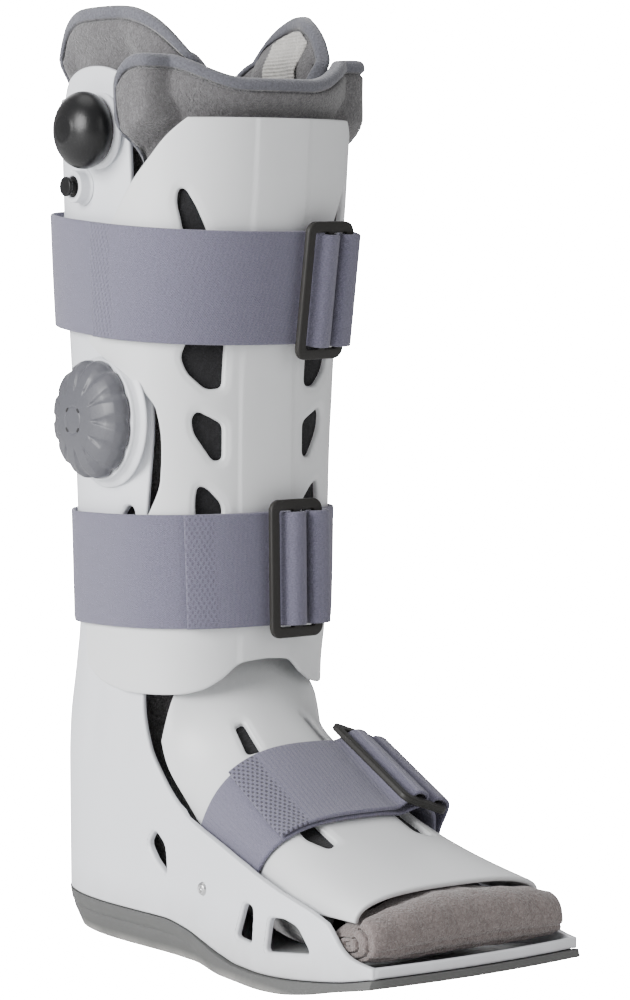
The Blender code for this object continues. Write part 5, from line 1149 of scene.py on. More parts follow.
# Shin panel: a white moulded cover over the shin, with four vents each side of a raised spine and a curved skirt.
# The vents' rims are sunk and rounded, and the side edges run back at the ankle and below the top.
SKIRT_BOTTOM = 0.1127
SKIRT_NOTCH = 0.0148
SPINE_HALF_WIDTH = 0.0145
SPINE_RISE = 0.00045
SkirtRow = namedtuple("SkirtRow", "turn rise")
SKIRT_ROWS = (
    SkirtRow(0.00, 1.00),
    SkirtRow(0.09, 0.93),
    SkirtRow(0.20, 0.47),
    SkirtRow(0.31, 0.17),
    SkirtRow(0.46, 0.03),
    SkirtRow(0.66, 0.00),
    SkirtRow(0.82, 0.02),
    SkirtRow(0.91, 0.17),
    SkirtRow(0.96, 0.40),
    SkirtRow(1.00, 0.66),
)
SHIN_VENTS = {
    "top": ((0.0345, 0.3140), (0.0300, 0.3000), (0.0400, 0.3000), (0.0450, 0.3130), (0.0492, 0.3260),
            (0.0488, 0.3315), (0.0455, 0.3320), (0.0400, 0.3240)),
    "second": ((0.0220, 0.2460), (0.0220, 0.2680), (0.0255, 0.2730), (0.0390, 0.2680), (0.0422, 0.2600),
               (0.0390, 0.2530), (0.0300, 0.2455)),
    "third": ((0.0215, 0.2150), (0.0215, 0.2305), (0.0340, 0.2365), (0.0365, 0.2330), (0.0355, 0.2270),
              (0.0265, 0.2145)),
    "fourth": ((0.0220, 0.1850), (0.0215, 0.1955), (0.0290, 0.2030), (0.0335, 0.2040), (0.0345, 0.1980),
               (0.0340, 0.1850)),
}
PANEL_WHITE = moulded_material("panel_plastic", (0.71, 0.72, 0.73), (0.67, 0.68, 0.69), 0.44, 1500.0, 0.10)
panel_sides = 2.0 * edge_shares(0.13, 0.0011, 151) - 1.0
skirt = SKIRT_BOTTOM + SKIRT_NOTCH * along(SKIRT_ROWS, "turn", "rise", np.abs(panel_sides))
low_share, first_share = PANEL_EDGE[0].height, PANEL_EDGE[1].height
rise = edge_shares(0.056, 0.0011, 26)[:-5][:, None]
skirt_height = skirt[None] + (first_share * SHIN_PANEL_TOP - skirt[None]) * rise
edge_height = low_share * SHIN_PANEL_TOP + (first_share - low_share) * SHIN_PANEL_TOP * rise
body_height = SHIN_PANEL_TOP * (first_share + (1.0 - first_share) * edge_shares(0.222, 0.0011, 190)[5:])[:, None]
panel_height = np.concatenate([skirt_height, np.broadcast_to(body_height, (len(body_height), len(panel_sides)))])
edge_height = np.concatenate([edge_height, body_height])
panel_turns = panel_sides[None] * turn_at(panel_edge(edge_height), panel_height)
panel_grid = leg_point(panel_turns, panel_height)
panel_normal = grid_normals(panel_grid)
girth = grid_lengths(panel_grid, 1)
girth = girth - girth[:, [len(panel_sides) // 2]]
flat = np.stack([np.abs(girth), panel_height], -1).reshape(-1, 2)
sunk = np.zeros(girth.shape)
for corners in SHIN_VENTS.values():
    distance = outline_distance(flat, rounded(corners)).reshape(girth.shape)
    sunk = np.maximum(sunk, 1.0 - smooth_step(0.0008, 0.0034, distance))
spine = SPINE_RISE * (1.0 - smooth_step(SPINE_HALF_WIDTH - 0.0012, SPINE_HALF_WIDTH + 0.0004, np.abs(girth)))
panel_grid = panel_grid + panel_normal * (spine - 0.0006 * sunk)[..., None]
shin_panel = make_wall("shin_moulding", panel_grid, PANEL_WALL, 0.0010, PANEL_WHITE, normal=panel_normal)


def place_between(table, wanted):
    """Where a value lies in each last-axis run of a rising table, as a place counted in steps."""
    low = np.clip((table < wanted[..., None]).sum(-1) - 1, 0, table.shape[-1] - 2)
    before = np.take_along_axis(table, low[..., None], -1)[..., 0]
    after = np.take_along_axis(table, low[..., None] + 1, -1)[..., 0]
    return low + np.clip((wanted - before) / np.maximum(after - before, 1e-12), 0.0, 1.0)


def girth_turn(girth_at, height):
    """The turn that lies this far round the leg from the front centre, by the length of its ring's chords."""
    turns = np.linspace(0.0, math.pi, 241)
    ring = leg_point(turns[None], height[:, None])
    lengths = grid_lengths(ring, 1)
    return place_between(lengths, np.abs(girth_at)) * (turns[1] - turns[0]) * np.sign(girth_at)


def shin_plug(corners, side_sign):
    """A vent cutter through the panel: its outline laid round the leg at each ring's rise."""
    rings = []
    for rise, growth in RIM_PROFILE:
        outline = grown(rounded(corners), growth)
        turn = girth_turn(outline[:, 0] * side_sign, outline[:, 1])
        rings.append(leg_point(turn, outline[:, 1], rise - 0.0006))
    return plug(np.stack(rings))


cut_openings(shin_panel, [shin_plug(corners, sign) for sign in (-1, 1) for corners in SHIN_VENTS.values()])
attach(shin_panel, "boot")
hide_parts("shin_panel")

# Instep panel: a white moulded arch over the instep and toes, with two pairs of vents and a plain toe end.
# It lies inside the shell's walls and is held down by the lowest strap.
INSTEP_VENTS = {
    "upper": ((20, 0.215), (28, 0.215), (31, 0.320), (20, 0.330)),
    "lower": ((20, 0.575), (33, 0.575), (34, 0.640), (27, 0.705), (19, 0.690)),
}
DEGREE_LENGTH = 0.00085
SHARE_LENGTH = 0.165
instep_turns = (2.0 * edge_shares(0.13, 0.0011, 140) - 1.0) * math.pi / 2
instep_shares = edge_shares(0.165, 0.0011, 130)
instep_grid = instep_point(instep_turns[None], instep_shares[:, None])
instep_normal = grid_normals(instep_grid)
flat = np.stack(np.broadcast_arrays(np.degrees(np.abs(instep_turns))[None] * DEGREE_LENGTH,
                                    instep_shares[:, None] * SHARE_LENGTH), -1).reshape(-1, 2)
sunk = np.zeros(instep_grid.shape[:2])
for corners in INSTEP_VENTS.values():
    outline = rounded(np.array(corners) * (DEGREE_LENGTH, SHARE_LENGTH), 0.0026)
    distance = outline_distance(flat, outline).reshape(sunk.shape)
    sunk = np.maximum(sunk, 1.0 - smooth_step(0.0008, 0.0034, distance))
instep_grid = instep_grid - instep_normal * (0.0006 * sunk)[..., None]
instep_panel = make_wall("instep_moulding", instep_grid, PANEL_WALL, 0.0010, PANEL_WHITE, normal=instep_normal)


def instep_plug(corners, side_sign):
    """A vent cutter through the arch, from its outline in turn and share."""
    rings = []
    for rise, growth in RIM_PROFILE:
        outline = grown(rounded(np.array(corners) * (DEGREE_LENGTH, SHARE_LENGTH), 0.0026), growth)
        turn = np.radians(outline[:, 0] / DEGREE_LENGTH) * side_sign
        rings.append(instep_point(turn, outline[:, 1] / SHARE_LENGTH, rise - 0.0006))
    return plug(np.stack(rings))


cut_openings(instep_panel, [instep_plug(corners, sign) for sign in (-1, 1) for corners in INSTEP_VENTS.values()])
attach(instep_panel, "boot")
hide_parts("instep_panel")

# Straps: three bands of 50 mm brushed webbing. Each main strap is riveted at the far side, runs round the back or
# under the wall, folds over its buckle's middle bar and is laid back on itself and welded. A short tab holds the
# buckle's outer bar. The buckles are flat three-bar frames moulded in charcoal plastic.
STRAP_WALL = 0.0018
STRAP_WIDTH = 0.0495
STRAP_GAP = 0.0008
LAYER_GAP = 0.0006
LOOP_GAP = 0.0008
BAR_PITCH = 0.0120
BAR_WIDTH = 0.0048
MIDDLE_BAR_WIDTH = 0.0036
BAR_WALL = 0.0028
BAR_ROUND = 0.0008
FRAME_CORNER = 0.0050
WELD_LENGTH = 0.0140
FAINT_WELD = 0.35
DOT_ACROSS = 0.0038
DOT_ALONG = 0.0023
THREAD_PITCH = 0.0009
CHEVRON_WIDTH = 0.0011
STRAP_STEP = 0.0013
RIVET_RADIUS = 0.0045
RIVET_HEAD = 0.0014
BAND_STEP = math.radians(9)


def weave_group():
    """Brushed webbing: threads as a sine in chevrons, fibres as noise, weld dots as two cosines."""
    group, given, result = new_group(
        "brushed_webbing",
        [("Vector", "NodeSocketVector", None), ("Pitch", "NodeSocketFloat", THREAD_PITCH)],
        [("Height", "NodeSocketFloat"), ("Shade", "NodeSocketFloat"), ("Dots", "NodeSocketFloat")])
    axes = node(group, "ShaderNodeSeparateXYZ", {"Vector": given.outputs["Vector"]})
    zigzag = node(group, "ShaderNodeMath", {0: axes.outputs["Y"], 1: CHEVRON_WIDTH}, operation="PINGPONG")
    slant = node(group, "ShaderNodeMath", {0: axes.outputs["X"], 1: zigzag.outputs[0]}, operation="ADD")
    turns = node(group, "ShaderNodeMath", {0: slant.outputs[0], 1: given.outputs["Pitch"]}, operation="DIVIDE")
    phase = node(group, "ShaderNodeMath", {0: turns.outputs[0], 1: 2.0 * math.pi}, operation="MULTIPLY")
    thread = node(group, "ShaderNodeMath", {0: phase.outputs[0]}, operation="SINE")
    drawn = node(group, "ShaderNodeMapping", {"Vector": given.outputs["Vector"], "Scale": (1.0, 0.6, 1.0)})
    fibre = node(group, "ShaderNodeTexNoise", {"Vector": drawn.outputs["Vector"], "Scale": 1900.0, "Detail": 3.0})
    height = node(group, "ShaderNodeMath", {0: thread.outputs[0], 1: 0.22, 2: fibre.outputs["Fac"]},
                  operation="MULTIPLY_ADD")
    cosines = []
    for axis, pitch in (("X", DOT_ACROSS), ("Y", DOT_ALONG)):
        angle = node(group, "ShaderNodeMath", {0: axes.outputs[axis], 1: 2.0 * math.pi / pitch},
                     operation="MULTIPLY")
        cosines.append(node(group, "ShaderNodeMath", {0: angle.outputs[0]}, operation="COSINE").outputs[0])
    dots = node(group, "ShaderNodeMath", {0: cosines[0], 1: cosines[1]}, operation="MULTIPLY")
    dots = node(group, "ShaderNodeMapRange", {"Value": dots.outputs[0], "From Min": 0.05, "From Max": 0.55})
    group.links.new(height.outputs[0], result.inputs["Height"])
    group.links.new(fibre.outputs["Fac"], result.inputs["Shade"])
    group.links.new(dots.outputs["Result"], result.inputs["Dots"])
    return group


WEAVE = weave_group()


def webbing_material():
    """Purple-grey webbing, darker in the sunk dots of its weld."""
    material, tree, shader = blank_material("webbing")
    flat = node(tree, "ShaderNodeUVMap", uv_map="flat")
    weave = node(tree, "ShaderNodeGroup", node_tree=WEAVE)
    tree.links.new(flat.outputs["UV"], weave.inputs["Vector"])
    spread = node(tree, "ShaderNodeMapRange",
                  {"Value": weave.outputs["Shade"], "From Min": 0.3, "From Max": 0.7})
    colour = mix_colour(tree, spread.outputs["Result"], (0.103, 0.099, 0.143), (0.165, 0.158, 0.222))
    weld = node(tree, "ShaderNodeAttribute", attribute_name="weld").outputs["Fac"]
    dots = node(tree, "ShaderNodeMath", {0: weld, 1: weave.outputs["Dots"]}, operation="MULTIPLY")
    colour = mix_colour(tree, dots.outputs[0], colour, (0.050, 0.047, 0.070))
    tree.links.new(colour, shader.inputs["Base Color"])
    shader.inputs["Roughness"].default_value = 0.88
    shader.inputs["Sheen Weight"].default_value = 0.25
    sunk_dots = node(tree, "ShaderNodeMath", {0: dots.outputs[0], 1: -1.6, 2: weave.outputs["Height"]},
                     operation="MULTIPLY_ADD")
    raised = node(tree, "ShaderNodeBump", {"Height": sunk_dots.outputs[0], "Strength": 0.8, "Distance": 0.0004})
    tree.links.new(raised.outputs["Normal"], shader.inputs["Normal"])
    return material


WEBBING = webbing_material()
BUCKLE_PLASTIC = moulded_material("buckle_plastic", (0.020, 0.0190, 0.0175), (0.016, 0.0153, 0.014), 0.5,
                                  fine=1100.0, bump=0.3, shine=0.3)
STEEL, steel_tree, steel_shader = blank_material("rivet_steel")
steel_place = node(steel_tree, "ShaderNodeTexCoord").outputs["Object"]
steel_noise = node(steel_tree, "ShaderNodeTexNoise", {"Vector": steel_place, "Scale": 1800.0, "Detail": 3.0})
steel_gloss = node(steel_tree, "ShaderNodeMapRange",
                   {"Value": steel_noise.outputs["Fac"], "To Min": 0.22, "To Max": 0.42})
steel_tree.links.new(mix_colour(steel_tree, steel_noise.outputs["Fac"], (0.52, 0.52, 0.53), (0.68, 0.68, 0.68)),
                     steel_shader.inputs["Base Color"])
steel_tree.links.new(steel_gloss.outputs["Result"], steel_shader.inputs["Roughness"])
steel_shader.inputs["Metallic"].default_value = 1.0


def axes_matrix(origin, along_axis, up_axis):
    """A frame whose X runs along, whose Y runs up and whose Z stands out."""
    across = unit(np.array(along_axis))
    out = unit(np.cross(across, up_axis))
    up = np.cross(out, across)
    matrix = Matrix(np.stack([across, up, out], -1).tolist()).to_4x4()
    return Matrix.Translation(Vector(origin)) @ matrix


def frame_place(matrix, x, y, z):
    """Points of a frame put in the boot's own axes."""
    local = np.stack(np.broadcast_arrays(x, y, z, 1.0), -1)
    return (local @ np.array(matrix).T)[..., :3]


def layer(number):
    """Height of the middle of a webbing layer above what it lies on."""
    return STRAP_GAP + STRAP_WALL / 2 + number * (STRAP_WALL + LAYER_GAP)


class LegBand:
    """The way of a webbing band round the leg: turn and height above the surface give a place."""

    def __init__(self, height, tilt, buckle_turn, sink):
        self.sink, self.height, self.tilt, self.buckle_turn = sink, height, tilt, buckle_turn
        upper_edge = self.place(buckle_turn, 0.0, STRAP_WIDTH / 2)
        lower_edge = self.place(buckle_turn, 0.0, -STRAP_WIDTH / 2)
        self.set_frame(upper_edge - lower_edge)

    def set_frame(self, up):
        ahead = self.place(self.buckle_turn + 0.02, 0.0, 0.0) - self.place(self.buckle_turn - 0.02, 0.0, 0.0)
        self.frame = axes_matrix(self.place(self.buckle_turn, 0.0, 0.0), ahead, up)

    def place(self, turn, above, across):
        ring = leg_point(turn, self.height + across)
        return leg_point(turn, self.height + self.tilt * ring[..., 1] + across, above)

    def turn_beside(self, distance):
        """The turn that lies this far along the band from the buckle's middle."""
        turns = self.buckle_turn + np.linspace(-0.06, 0.06, 121) / float(leg_size(self.height)[0])
        lengths = grid_lengths(self.place(turns, 0.0, 0.0), 0)
        return float(np.interp(distance, lengths - np.interp(self.buckle_turn, turns, lengths), turns))

    def ring_points(self, start, end, above):
        """Places from one turn to another, down on the shell's face between the shin panel's side edges."""
        low, high = sorted((start, end))
        inner = np.arange(math.ceil(low / BAND_STEP + 0.2), math.floor(high / BAND_STEP - 0.2) + 1) * BAND_STEP
        turns = np.concatenate([[low], inner, [high]])[::1 if start < end else -1]
        from_back = np.abs((turns - math.pi) % (2.0 * math.pi))
        from_back = np.minimum(from_back, 2.0 * math.pi - from_back)
        sunk = self.sink * (1.0 - smooth_step(math.radians(58), math.radians(72), from_back))
        return [("band", turn, above - drop) for turn, drop in zip(turns, sunk)]


class InstepBand(LegBand):
    """The way of the foot strap: turns from the crown, and past the panel's edge straight down inside the wall."""

    def __init__(self, forward, slope, buckle_turn):
        self.sink, self.buckle_turn = 0.0, buckle_turn
        self.axis = unit(np.array((0.0, -1.0, -slope)))
        shares = np.linspace(0.0, 1.0, 201)
        share = np.interp(forward, -instep_point(0.0, shares)[:, 1], shares)
        self.origin = instep_point(0.0, share)
        self.height = float(self.origin[2])
        self.set_frame(-self.axis)

    def place(self, turn, above, across):
        """Surface points whose place along the foot, across the band, is `across` from the band's middle."""
        turn, above, across = np.broadcast_arrays(np.asarray(turn, float), above, across)
        shares = np.linspace(0.0, 1.0, 101)
        limit = math.pi / 2 - 0.02
        inside = np.clip(turn, -limit, limit)
        points = instep_point(inside[..., None], shares)
        share = place_between((points - self.origin) @ self.axis, -across) * (shares[1] - shares[0])
        past = np.abs(turn) - np.abs(inside)
        down = np.cross(self.axis, (1.0, 0.0, 0.0))
        down = down if down[2] < 0 else -down
        return instep_point(inside, share, above) + down * past[..., None] * 0.03


def buckle_lift(band):
    """Height of the bars' middle over the buckle's plane, so that the outer bar clears both layers."""
    turns = np.array([band.turn_beside(d) for d in np.linspace(-BAR_PITCH - BAR_WIDTH, BAR_WIDTH - BAR_PITCH, 5)])
    over = band.place(turns[:, None], layer(1) + LAYER_GAP, np.linspace(-STRAP_WIDTH / 2, STRAP_WIDTH / 2, 7)[None])
    tops = frame_place(band.frame.inverted(), *np.moveaxis(over, -1, 0))[..., 2]
    return max(tops.max() + STRAP_WALL / 2 + LOOP_GAP * 2.9, layer(0) + STRAP_WALL / 2 + LOOP_GAP) + BAR_WALL / 2


def half_turn(centre_x, lift, reach, height, start, end):
    """Places round the end of a bar, in the buckle's frame, by angle from straight out, a squared half circle."""
    angles = np.radians(np.linspace(start, end, 9))
    out = reach * signed_power(np.sin(angles), 0.6)
    rise = height * signed_power(np.cos(angles), 0.6)
    return [("frame", centre_x + x, lift + z) for x, z in zip(out, rise)]


def strap_path(band, way, across):
    """A list of places along a strap laid out as rows of points across it, on a smooth curve through them."""
    rows = [band.place(first, second, across) if kind == "band" else frame_place(band.frame, first, across, second)
            for kind, first, second in way]
    rows = np.stack(rows)
    length = grid_lengths(rows, 0)[-1].mean()
    return smooth_through(rows, edge_shares(length, BAR_ROUND, int(length / STRAP_STEP)))


def make_ribbon(name, band, way, node_name, weld_share):
    """Webbing with rounded selvedges along its way, marked at its end by how plainly its weld shows."""
    across = STRAP_WIDTH * (edge_shares(STRAP_WIDTH, BAR_ROUND, 31) - 0.5)
    path = strap_path(band, way, across)
    lengths = grid_lengths(path, 0)
    left = lengths[-1:] - lengths
    weld = (1.0 - smooth_step(WELD_LENGTH - 0.0004, WELD_LENGTH, left)) * weld_share
    piece = make_wall(name, path, STRAP_WALL, BAR_ROUND, WEBBING, centred=True, swell=-0.00010 * weld,
                      marks={"weld": weld}, normal=grid_normals(path))
    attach(piece, "boot")
    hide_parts(node_name)


def box_outline(left, right, low, high, corner):
    """A rectangle with round corners as a closed run of points."""
    points = []
    for x, y, start in ((right, high, 0), (left, high, 90), (left, low, 180), (right, low, 270)):
        centre = (x - math.copysign(corner, x - (left + right) / 2), y - math.copysign(corner, y - (low + high) / 2))
        angles = np.radians(np.linspace(start, start + 90, 9))
        points += [(centre[0] + corner * math.cos(a), centre[1] + corner * math.sin(a)) for a in angles]
    return points


def make_frame_buckle(name, matrix, node_name):
    """Flat three-bar frame: a filled plane curve with two windows, its edges rounded all round."""
    half_high = STRAP_WIDTH / 2 + 0.0006
    left, right = -BAR_PITCH - BAR_WIDTH / 2, BAR_PITCH + BAR_WIDTH / 2
    outlines = [box_outline(left, right, -half_high - BAR_WIDTH, half_high + BAR_WIDTH, FRAME_CORNER)]
    for low_x, high_x in ((left + BAR_WIDTH, -MIDDLE_BAR_WIDTH / 2), (MIDDLE_BAR_WIDTH / 2, right - BAR_WIDTH)):
        outlines.append(box_outline(low_x, high_x, -half_high, half_high, BAR_WIDTH * 0.22))
    curve = bpy.data.curves.new(name, "CURVE")
    curve.dimensions = "2D"
    curve.fill_mode = "BOTH"
    curve.extrude = BAR_WALL / 2 - BAR_ROUND
    curve.bevel_depth = BAR_ROUND
    curve.bevel_resolution = 3
    curve.offset = -BAR_ROUND
    for outline in outlines:
        spline = curve.splines.new("POLY")
        spline.points.add(len(outline) - 1)
        spline.points.foreach_set("co", np.array([(x, y, 0.0, 1.0) for x, y in outline]).ravel())
        spline.use_cyclic_u = True
    flat_frame = bpy.data.objects.new(name, curve)
    bpy.context.scene.collection.objects.link(flat_frame)
    mesh = bpy.data.meshes.new_from_object(flat_frame.evaluated_get(bpy.context.evaluated_depsgraph_get()))
    bpy.data.objects.remove(flat_frame)
    mesh.transform(matrix)
    points = np.empty(len(mesh.vertices) * 3)
    mesh.vertices.foreach_get("co", points)
    faces = [tuple(face.vertices) for face in mesh.polygons]
    bpy.data.meshes.remove(mesh)
    piece = make_piece(name, points.reshape(-1, 3), faces, BUCKLE_PLASTIC, weld=True, sharp=38.0)
    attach(piece, "boot")
    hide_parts(node_name)


def make_band_set(prefix, band, anchor, free_end, tab_anchor, weld_share):
    """Main strap, tab and buckle of one band."""
    lift = buckle_lift(band)
    reach = MIDDLE_BAR_WIDTH / 2 + LOOP_GAP + STRAP_WALL / 2
    height = BAR_WALL / 2 + LOOP_GAP + STRAP_WALL / 2
    way = band.ring_points(anchor, band.turn_beside(-BAR_PITCH * 0.55), layer(0))
    way += half_turn(0.0, lift, reach, height, 155, 25)
    way += [("frame", -MIDDLE_BAR_WIDTH * 0.7, lift + height)]
    way += [("band", band.turn_beside(-BAR_PITCH + BAR_WIDTH * 0.62), layer(1) + LAYER_GAP)]
    way += band.ring_points(band.turn_beside(-BAR_PITCH - BAR_WIDTH * 0.9), free_end, layer(1))
    make_ribbon(f"{prefix}_webbing", band, way, f"{prefix}_strap", weld_share)
    tab_reach = BAR_WIDTH / 2 + LOOP_GAP + STRAP_WALL / 2
    way = band.ring_points(tab_anchor, band.turn_beside(BAR_PITCH + BAR_WIDTH * 1.6), layer(0))
    way += half_turn(BAR_PITCH, lift, -tab_reach, height, 165, 10)
    way += [("frame", BAR_PITCH + BAR_WIDTH * 0.6, lift + height)]
    way += band.ring_points(band.turn_beside(BAR_PITCH + BAR_WIDTH * 2.1),
                            band.turn_beside(BAR_PITCH + BAR_WIDTH * 3.2), layer(1))
    make_ribbon(f"{prefix}_tab_webbing", band, way, f"{prefix}_tab", 0.0)
    make_frame_buckle(f"{prefix}_frame", band.frame @ Matrix.Translation((0, 0, lift)), f"{prefix}_buckle")


def soft_profile(points, radius, steps=5):
    """A turned profile whose inner corners are quadratic curves that start and end a radius away."""
    points = np.array(points, float)
    before = points[:-2] - points[1:-1]
    after = points[2:] - points[1:-1]
    t = np.linspace(0.0, 1.0, steps)[None, :, None]

    def cut(edge):
        length = np.linalg.norm(edge, axis=1, keepdims=True)
        return (points[1:-1] + edge / length * np.minimum(radius, 0.46 * length))[:, None]

    corner = points[1:-1][:, None]
    curves = cut(before) * (1 - t) ** 2 + 2 * corner * t * (1 - t) + cut(after) * t**2
    return np.concatenate([points[:1], curves.reshape(-1, 2), points[-1:]])


def turned_points(profile, seat, direction, steps=72):
    """A profile of (radius, height) carried round a direction: seat + height * direction + radius * ring."""
    direction = unit(np.array(direction, float))
    first = unit(np.cross(direction, (0.0, 1.0, 0.3)))
    second = np.cross(direction, first)
    angle = np.linspace(0.0, 2.0 * math.pi, steps, endpoint=False)
    ring = np.cos(angle)[:, None] * first + np.sin(angle)[:, None] * second
    profile = np.asarray(profile)
    return np.array(seat) + profile[:, 1, None, None] * direction + profile[:, 0, None, None] * ring[None]


def make_turned(name, profile, seat, direction, material, body, node_name=None, steps=72):
    """A turned piece, closed at its poles."""
    grid = turned_points(profile, seat, direction, steps)
    piece = make_piece(name, grid.reshape(-1, 3), grid_quads(*grid.shape[:2], wrap=True), material, weld=True)
    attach(piece, body)
    if node_name:
        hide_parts(node_name)
    return piece


def rivet_profile(radius, base, head):
    """A domed head with a round recess in its middle, closed underneath."""
    return soft_profile([(0.0, base + head * 0.45), (radius * 0.34, base + head * 0.45),
                         (radius * 0.40, base + head),
                         (radius * 0.72, base + head * 0.92), (radius, base + head * 0.25), (radius, base - 0.0002),
                         (0.0, base - 0.0002)], radius * 0.12)


upper_band = LegBand(0.2932, 0.0770, math.radians(375.0), 0.0)
lower_band = LegBand(0.1663, -0.0220, math.radians(365.5), SHELL_INSET)
FAR_ANCHOR = math.radians(112.0)
TAB_ANCHOR = math.radians(460.0)
RIVET_INSET = math.radians(6.0)
for prefix, band, free_end in (("upper", upper_band, 272.0), ("lower", lower_band, 320.0)):
    make_band_set(prefix, band, FAR_ANCHOR, math.radians(free_end), TAB_ANCHOR, FAINT_WELD)
    for word, turn in (("strap", FAR_ANCHOR + RIVET_INSET), ("tab", TAB_ANCHOR - RIVET_INSET)):
        sunk = band.ring_points(turn, turn + 1e-6, layer(0))[0][2]
        seat = band.place(turn, sunk + STRAP_WALL / 2 - 0.0001, 0.0)
        out = band.place(turn, sunk + 0.01, 0.0) - band.place(turn, sunk, 0.0)
        make_turned(f"{prefix}_{word}_rivet_head", rivet_profile(RIVET_RADIUS, 0.0, RIVET_HEAD), seat, out, STEEL,
                    "boot", f"{prefix}_{word}_rivet", 48)
FOOT_DOWN = math.pi / 2 + 0.15
make_band_set("foot", InstepBand(0.0925, 0.5, math.radians(30.0)), -FOOT_DOWN, math.radians(-50.0), FOOT_DOWN, 1.0)

# Air system: a black rubber squeeze bulb on a white collar, and a release valve with a black press button.
# Both are pressed into the tab at the top of the shell.
BULB_RADIUS = 0.0167
BULB_PLACE = (-0.0030, 0.3570)
BULB_HALF_DEPTH = 0.0113
BULB_SINK = 0.0060
FLANGE_RADIUS = 0.0166
FLANGE_WALL = 0.0026
VALVE_PLACE = (0.0120, 0.3330)
VALVE_RADIUS = 0.0070
VALVE_BORE = 0.0046
VALVE_LENGTH = 0.0056
BUTTON_TRAVEL = 0.0020
BUTTON_CAP_RADIUS = 0.0043
BUTTON_STEM_RADIUS = 0.0028
BUTTON_CAP_LENGTH = 0.0018
NEAR = (-1.0, 0.0, 0.0)
SMALL_GAP = 0.0003
BULB_RUBBER = moulded_material("bulb_rubber", (0.006, 0.006, 0.0065), (0.009, 0.009, 0.0095), 0.33, 1300.0, 0.2,
                               shine=0.3)


def near_seat(y, z):
    """A place on the shell's near side."""
    return (-float(leg_size(z, SHELL_INSET)[0]) - SMALL_GAP, y, z)


bulb_seat = near_seat(*BULB_PLACE)
collar = soft_profile([(0.0, FLANGE_WALL), (FLANGE_RADIUS * 0.90, FLANGE_WALL), (FLANGE_RADIUS, FLANGE_WALL * 0.45),
                       (FLANGE_RADIUS, -0.0002), (0.0, -0.0002)], 0.0007)
make_turned("bulb_collar", collar, bulb_seat, NEAR, SHELL_WHITE, "boot", "bulb_flange", 96)
bulb_base = FLANGE_WALL + 0.0001
bulb_angles = np.linspace(math.pi / 2, -math.asin(BULB_SINK / BULB_HALF_DEPTH), 40)
dome = np.stack([BULB_RADIUS * np.cos(bulb_angles),
                 bulb_base + BULB_SINK + BULB_HALF_DEPTH * np.sin(bulb_angles)], -1)
dome[0, 0] = 0.0
dome[:, 1] += 0.00025 * np.exp(-((dome[:, 0] - BULB_RADIUS * 0.35) / 0.0006) ** 2)
dome = np.concatenate([dome, [(0.0, bulb_base)]])
make_turned("squeeze_bulb", dome, bulb_seat, NEAR, BULB_RUBBER, "boot", "pump_bulb", 96)
valve_seat = near_seat(*VALVE_PLACE)
sleeve = [(VALVE_BORE, VALVE_LENGTH * 0.5), (VALVE_BORE, VALVE_LENGTH), (VALVE_RADIUS, VALVE_LENGTH),
          (VALVE_RADIUS * 1.02, 0.0008), (VALVE_RADIUS * 1.2, -0.0002), (VALVE_BORE, -0.0002),
          (VALVE_BORE, VALVE_LENGTH * 0.5)]
make_turned("valve_sleeve", soft_profile(sleeve, 0.0006), valve_seat, NEAR, SHELL_WHITE, "boot",
            "release_valve", 64)
stem_top = VALVE_LENGTH - 0.0002
cap_low = stem_top + BUTTON_TRAVEL + 0.0004
cap_top = cap_low + BUTTON_CAP_LENGTH
button = [(0.0, cap_top), (BUTTON_CAP_RADIUS, cap_top), (BUTTON_CAP_RADIUS, cap_low), (BUTTON_STEM_RADIUS, cap_low),
          (BUTTON_STEM_RADIUS, stem_top), (VALVE_BORE - SMALL_GAP * 1.2, stem_top),
          (VALVE_BORE - SMALL_GAP * 1.2, BUTTON_TRAVEL + SMALL_GAP), (0.0, BUTTON_TRAVEL + SMALL_GAP)]
make_turned("press_button", soft_profile(button, 0.0006), valve_seat, NEAR, BULB_RUBBER, "button",
            "release_button", 64)

# Dial: a domed grey selector that turns on a pin in the shell's boss. Its rim has shallow finger notches that run
# into leaf-shaped grooves, and a faint ring joins four slots round its middle, shown as thin dark patches of
# painted shade. A white collar hugs it.
DIAL_HEIGHT = 0.2320
DIAL_RADIUS = 0.0260
DIAL_LENGTH = 0.0132
DIAL_NOTCHES = 12
DIAL_NOTCH_DEPTH = 0.0011
DIAL_BOSS_RISE = 0.0045
DIAL_RING = 0.0060
LEAF_DEPTH = 0.0009
LEAF_END = 0.45
DIAL_PROFILE_R = (0.0, 0.22, 0.52, 0.78, 0.93, 1.0)
DIAL_PROFILE_H = (1.0, 0.99, 0.90, 0.72, 0.48, 0.22)
DIAL_PLASTIC = moulded_material("dial_plastic", (0.088, 0.089, 0.102), (0.079, 0.080, 0.091), 0.42, 1300.0, 0.12)
SLOT_PAINTED_SHADE = moulded_material("dial_slot_painted_shade", (0.012, 0.012, 0.013), (0.02, 0.02, 0.02), 0.6)
dial_seat = np.array((-float(leg_size(DIAL_HEIGHT, SHELL_INSET)[0]), 0.0, DIAL_HEIGHT))
boss = [(0.0, DIAL_BOSS_RISE - 0.0002), (DIAL_RADIUS - 0.0012, DIAL_BOSS_RISE - 0.0002),
        (DIAL_RADIUS + 0.0004, DIAL_BOSS_RISE), (DIAL_RADIUS + 0.0008, DIAL_BOSS_RISE - 0.0012),
        (DIAL_RADIUS + 0.0007, 0.0030), (DIAL_RADIUS + 0.0016, 0.0010), (DIAL_RADIUS + 0.0040, -0.0002),
        (DIAL_RADIUS + 0.0040, -0.0012), (0.0, -0.0012)]
make_turned("dial_collar", soft_profile(boss, 0.0008, 7), dial_seat, NEAR, SHELL_WHITE, "boot", None, 128)
angle = np.linspace(0.0, 2.0 * math.pi, 288, endpoint=False)[None]
dial_r = np.concatenate([np.linspace(0.0, 0.93, 70), np.linspace(0.93, 1.0, 14)[1:]])[:, None]
